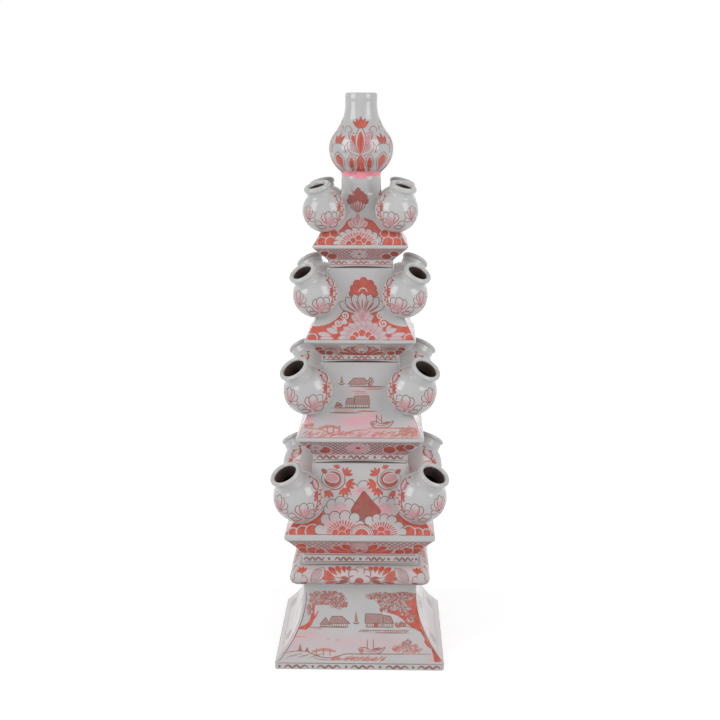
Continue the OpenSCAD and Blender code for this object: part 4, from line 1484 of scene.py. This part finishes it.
# %% Bottle
def bottle_front(s):
    for turn, tall, wide in ((0, 538, 8.6), (-19, 536.5, 5), (19, 536.5, 5)):
        x = belly.radius(530) * math.radians(turn)
        s.line("umber", petal(x * 0.75, 520, x * 1.06, tall + 2, wide + 3.4, 1.5), 0.6)
        s.fill("red", petal(x * 0.8, 518, x, tall, wide, 1.7))
    s.fill("red", [(-5, 521), (5, 521), (2.6, 529), (-2.6, 529)])
    for way in (-1, 1):
        s.fill("white", petal(0, 537, way * 13.5, 551, 10.5, 1.3), "umber", 0.6)
        s.fill("mist", petal(way * 2, 540, way * 11.5, 549.6, 6.4, 1.2))
        for k in range(4):
            s.line("rose", stroke((way * (1.5 + k), 540 + k * 0.4), (way * (5 + k * 1.2), 544.5 + k * 0.4),
                                  (way * (8 + k), 548.5)), 0.8)
        s.line("umber", stroke((way * 12, 555), (way * 13, 561), (way * 9, 563), (way * 13.5, 567.5),
                               (way * 18, 564.5), (way * 16.5, 561)), 0.6)
        s.line("umber", stroke((way * 15, 540), (way * 17, 546), (way * 13.5, 551)), 0.6)
        s.fill("white", petal(way * 3.6, 546.5, way * 10, 561, 8, 1.2), "umber", 0.6)
        s.fill("red" if way < 0 else "rose", petal(way * 4.6, 548, way * 9, 558.6, 5, 1.2))
    s.fill("white", petal(0, 538, 0, 566.5, 11, 1.1), "umber", 0.6)
    s.fill("red", petal(0, 539.5, 0, 562.5, 7, 1.0))
    s.line("rust", stroke((0, 541), (0.6, 549), (0, 557)), 1.0)
    crown = [(1.7, 572.8), (4.8, 575), (4.5, 571.4), (8.6, 572.6), (6.2, 568), (3.4, 565.4)]
    s.fill("red", [(0, 577.5)] + crown + [(-x, z) for x, z in crown[::-1]], "umber", 0.5)
    dice = random.Random(2)
    ragged = [(k * 4.5, 513.9 + dice.uniform(-0.9, 0.9)) for k in range(-10, 11)]
    ragged += [(k * 4.5, 521.2 + dice.uniform(-0.4, 0.4)) for k in range(10, -11, -1)]
    s.fill("pink", [(math.radians(a) * belly.radius(z), z) for a, z in ragged])
    s.wash((6, 553, 7, 8, 0.6), (0, 543, 9, 5, 0.4))


def bottle_between(s):
    s.line("sepia", petal(0, 520, 0, 541.5, 14, 1.5), 0.6)
    s.fill("red", petal(0, 521.6, 0, 539, 10.5, 1.7))
    for way in (-1, 1):
        s.line("sepia", stroke((way * 9.5, 540), (way * 10, 545.5), (way * 6, 549), (0, 550)), 0.6)
    s.fill("red", [(0, 561), (2, 555.6), (6.6, 558), (5.2, 551.6), (3, 550.2), (-3, 550.2), (-5.2, 551.6),
                   (-6.6, 558), (-2, 555.6)], "umber", 0.5)


print("globe and bottle drawings are ready")

# %% [markdown]
# ## Paint the tower
# Every drawing is laid once: on the front or, for a globe, on the front left one. Spin with duplicates
# carries the painting round to the other three sides. Only the pedestal's two landscapes lie on two sides
# each: a strong one on its front and back, and a faint one on its flanks.

# %% Lay the drawings
bodies = {node: body for body, nodes in frame["record"]["behaviour"]["bodies"].items() for node in nodes}
drawings = [(panels[tier, part], draw, f"{tier}_tier") for tier, draws in (
    ("lower", (lower_foot, lower_under, lower_roof)), ("middle", (middle_foot, middle_under, middle_roof)),
    ("upper", (upper_foot, upper_under, upper_roof)), ("top", (top_foot, top_under, top_roof)))
    for part, draw in zip(("foot", "under", "roof"), draws)]
drawings += [(panels["pedestal", part], draw, "pedestal") for part, draw in
             (("foot", pedestal_foot), ("side", pedestal_side), ("flank", pedestal_flank),
              ("cushion", pedestal_cushion))]
for tier in TIERS:
    globe = globes[tier, "front_left"]
    drawings += [(GlobeFace(globe, 0, 12), lambda s: front_lotus(s, 1), globe.node),
                 (GlobeFace(globe, -90, 12), lambda s: front_lotus(s, -1), globe.node),
                 (GlobeFace(globe, -45, -2), outer_lotus, globe.node)]
for tier in TIERS:
    for panel, v in (
            (panels[tier, "roof"], 0.6), (panels[tier, "under"], panels[tier, "under"].length - 0.5)):
        drawings.append((panel, lambda s, panel=panel, v=v: rule(s, panel, v, "sepia", 0.55), f"{tier}_tier"))
drawings += [(belly, bottle_front, "gourd_bottle"), (Belly(45), bottle_between, "gourd_bottle")]

washes = []
for surface, draw, node in drawings:
    sheet = Sheet()
    draw(sheet)
    sides = 2 if draw in (pedestal_side, pedestal_flank) else 4
    lay(sheet, surface, bodies[node], sides)
    washes.append((node, surface, sheet.washes, sides))
print({" ".join(map(str, key)): len(layer.faces) for key, layer in paint.items()})

# %% Carry the painting round and hang it on the bodies
for (body, pigment, sides), layer in paint.items():
    bmesh.ops.spin(layer, geom=layer.verts[:] + layer.edges[:] + layer.faces[:], cent=(0, 0, 0),
                   axis=(0, 0, 1), angle=math.tau * (sides - 1) / sides, steps=sides - 1, use_duplicate=True)
    coat = finished(layer, f"{body}_{pigment}_{sides}_sides_paint")
    slot, material = pigments[pigment]
    coat.data.materials.append(material)
    coat.data.shade_smooth()
    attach(coat, body)
coats = [o for o in scene.objects if o.name.endswith("_paint")]
print(len(coats), "layers of paint,", sum(len(o.data.polygons) for o in coats), "faces")

# %% [markdown]
# The pale pink that floats under the pen work has no edge, so it isn't a shape. It goes into a "wash"
# attribute on the glaze itself, which the glaze material reads: soft spots, each as strong as the painter's
# brush was wet.

# %% Wash the glaze with pink
MOST_WASH = 0.85


def soak(shell, surfaces):
    amount = shell.data.attributes.new("wash", "FLOAT", "POINT")
    for v in shell.data.vertices:
        p, total = v.co / MM, 0.0
        for quarter in range(4):
            for surface, spots, sides in surfaces:
                spot = surface.find(p) if spots and (sides == 4 or quarter % 2 == 0) else None
                if spot:
                    total += sum(k * math.exp(-((spot.x - u) / a) ** 2 - ((spot.y - w) / b) ** 2)
                                 for u, w, a, b, k in spots)
            p = Vector((-p.y, p.x, p.z))
        amount.data[v.index].value = min(MOST_WASH, total)
    return max(d.value for d in amount.data)


strongest = {}
for node, shell in shells.items():
    kin = node if "spout" not in node else node.split("_spout_")[0] + "_spout_front_left"
    own = [(surface, spots, sides) for owner, surface, spots, sides in washes if owner == kin]
    strongest[node] = round(soak(shell, own), 2)
print("strongest wash:", strongest)

# %% [markdown]
# ## The floor, the light and the background
# The tower stands on a pale floor in a white studio. Two soft boxes stand to the left and to the right of
# the camera, and each globe mirrors them as a pair of window lights. The world adds a weaker light that
# grows towards the back, so the side that faces the camera is a shade darker. Rays from the camera, rays
# mirrored in the glaze and rays through glass see a full white instead of that weaker light. The floor
# glows for the same rays.

# %% Floor and world
def white_to(nodes, link, ray):
    """1 for the rays that see full white: from the camera, mirrored in the glaze or through glass."""
    direct, mirrored = nodes.new("ShaderNodeMath"), nodes.new("ShaderNodeMath")
    direct.operation = mirrored.operation = "MAXIMUM"
    link(ray.outputs["Is Camera Ray"], direct.inputs[0])
    link(ray.outputs["Is Transmission Ray"], direct.inputs[1])
    link(direct.outputs[0], mirrored.inputs[0])
    link(ray.outputs["Is Glossy Ray"], mirrored.inputs[1])
    return mirrored.outputs[0]


def pale_floor():
    bm = bmesh.new()
    bmesh.ops.create_circle(bm, cap_ends=True, segments=96, radius=6)
    floor = finished(bm, "studio_floor")
    material = bpy.data.materials.new("pale_floor")
    material.use_nodes = True
    nodes, link = material.node_tree.nodes, material.node_tree.links.new
    shader = nodes["Principled BSDF"]
    put(shader, Base_Color=(0.86, 0.86, 0.86, 1), Roughness=0.6, Emission_Strength=1.0)
    ray, place, far, glow = (nodes.new("ShaderNodeLightPath"), nodes.new("ShaderNodeTexCoord"),
                             nodes.new("ShaderNodeVectorMath"), nodes.new("ShaderNodeMapRange"))
    far.operation = "LENGTH"
    link(place.outputs["Object"], far.inputs[0])
    link(far.outputs["Value"], glow.inputs["Value"])
    put(glow, From_Min=0.1, From_Max=1.6, To_Min=0.46, To_Max=0.66)
    seen = nodes.new("ShaderNodeMath")
    seen.operation = "MULTIPLY"
    link(glow.outputs[0], seen.inputs[0])
    link(white_to(nodes, link, ray), seen.inputs[1])
    link(seen.outputs[0], shader.inputs["Emission Color"])
    floor.data.materials.append(material)


pale_floor()
world = bpy.data.worlds.new("white_studio")
scene.world = world
world.use_nodes = True
nodes, link = world.node_tree.nodes, world.node_tree.links.new
background = nodes["Background"]
put(background, Color=(1, 1, 1, 1))
ray, where, apart = (nodes.new("ShaderNodeLightPath"), nodes.new("ShaderNodeTexCoord"),
                     nodes.new("ShaderNodeSeparateXYZ"))
link(where.outputs["Generated"], apart.inputs[0])
depth = nodes.new("ShaderNodeMapRange")
put(depth, From_Min=-1, From_Max=0.6, To_Min=0.29, To_Max=0.45)
link(apart.outputs["Y"], depth.inputs["Value"])
seen = nodes.new("ShaderNodeMix")
link(white_to(nodes, link, ray), seen.inputs[MIX_FACTOR])
link(depth.outputs[0], seen.inputs[MIX_LOW])
seen.inputs[MIX_HIGH].default_value = 1.0
link(seen.outputs[0], background.inputs["Strength"])
print("world:", world.name)


# %% Two soft boxes
AIM, DISTANCE, ELEVATION, BOX_WIDTH, BOX_HEIGHT = Vector((0, 0, 0.33)), 1.6, 26, 0.85, 1.1


def soft_box(name, azimuth, power):
    light = bpy.data.lights.new(name, "AREA")
    light.shape, light.size, light.size_y, light.energy = "RECTANGLE", BOX_WIDTH, BOX_HEIGHT, power
    box = bpy.data.objects.new(name, light)
    a, e = math.radians(azimuth), math.radians(ELEVATION)
    towards = Vector((math.sin(a) * math.cos(e), -math.cos(a) * math.cos(e), math.sin(e)))
    box.location = AIM + DISTANCE * towards
    box.rotation_euler = (AIM - box.location).to_track_quat("-Z", "Y").to_euler()
    scene.collection.objects.link(box)
    return box


soft_boxes = [soft_box("left_window", -58, 11.8), soft_box("right_window", 52, 10.8)]
print("lights:", [b.name for b in soft_boxes])

# %% [markdown]
# ## Hand the pieces over
# Every shell replaces its CAD node and moves with that node's body. Inside a globe or the bottle the glaze
# gives way to a dark brown that paints the shade in there. Under a tier's foot it gives way to a bare buff
# clay, darkened to paint the shade in the gap.

# %% Shade, name and hang the shells on their bodies
LIP_DEPTH, WALL_MARGIN, INWARDS = 2.4, 1.5, -0.25
FOOT_CLAY_SHADE_HEIGHT, FOOT_CLAY_SHADE_MARGIN = 2.2, 0.6
SHADE_SPLIT = math.radians(50)


def mark_inside(shell, globe):
    """Give the dark inside material, which is painted shade, to the faces inside a globe, or that look
    towards the piece's own axis.
    """
    to_axis = (globe.matrix if globe else Matrix()).inverted()
    middle = Vector((0, 0, globe.middle_z * MM)) if globe else Vector()
    hollow = (globe.radius - WALL_MARGIN) * MM if globe else 0
    lip = max((to_axis @ v.co).z for v in shell.data.vertices) - LIP_DEPTH * MM
    for face in shell.data.polygons:
        centre, normal = to_axis @ face.center, to_axis.to_3x3() @ face.normal
        reach = Vector((centre.x, centre.y))
        inwards = Vector((normal.x, normal.y)).dot(reach.normalized()) < INWARDS
        if centre.z < lip and (inwards or (centre - middle).length < hollow):
            face.material_index = 1


for node, shell in shells.items():
    shell.data.materials.clear()
    shell.data.materials.append(glaze)
    # Slot 1 paints shade: the dark inside of a globe or the bottle, or the foot's bare clay darkened for the
    # gap under it
    shell.data.materials.append(foot_clay_and_gap_shade if node in FOOT_ARCH else inside_shade)
    if node in FOOT_ARCH:
        # Faces under the foot get the bare clay, darkened to paint the shade in the gap under it
        edge = outlines[node][0][FOOT_EDGE]
        for face in shell.data.polygons:
            reach = max(abs(face.center.x), abs(face.center.y)) / MM
            if face.center.z / MM < edge.y + FOOT_CLAY_SHADE_HEIGHT and reach < edge.x - FOOT_CLAY_SHADE_MARGIN:
                face.material_index = 1
    elif node != "pedestal":
        mark_inside(shell, next((g for g in globes.values() if g.node == node), None))
    shell.data.shade_smooth()
    shell.data.set_sharp_from_angle(angle=SHADE_SPLIT)
    smooth = shell.modifiers.new("even_shading", "WEIGHTED_NORMAL")
    smooth.keep_sharp = True
    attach(shell, bodies[node])
    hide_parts(node)
print(len(shells), "shells ride on", sorted(set(bodies.values())))
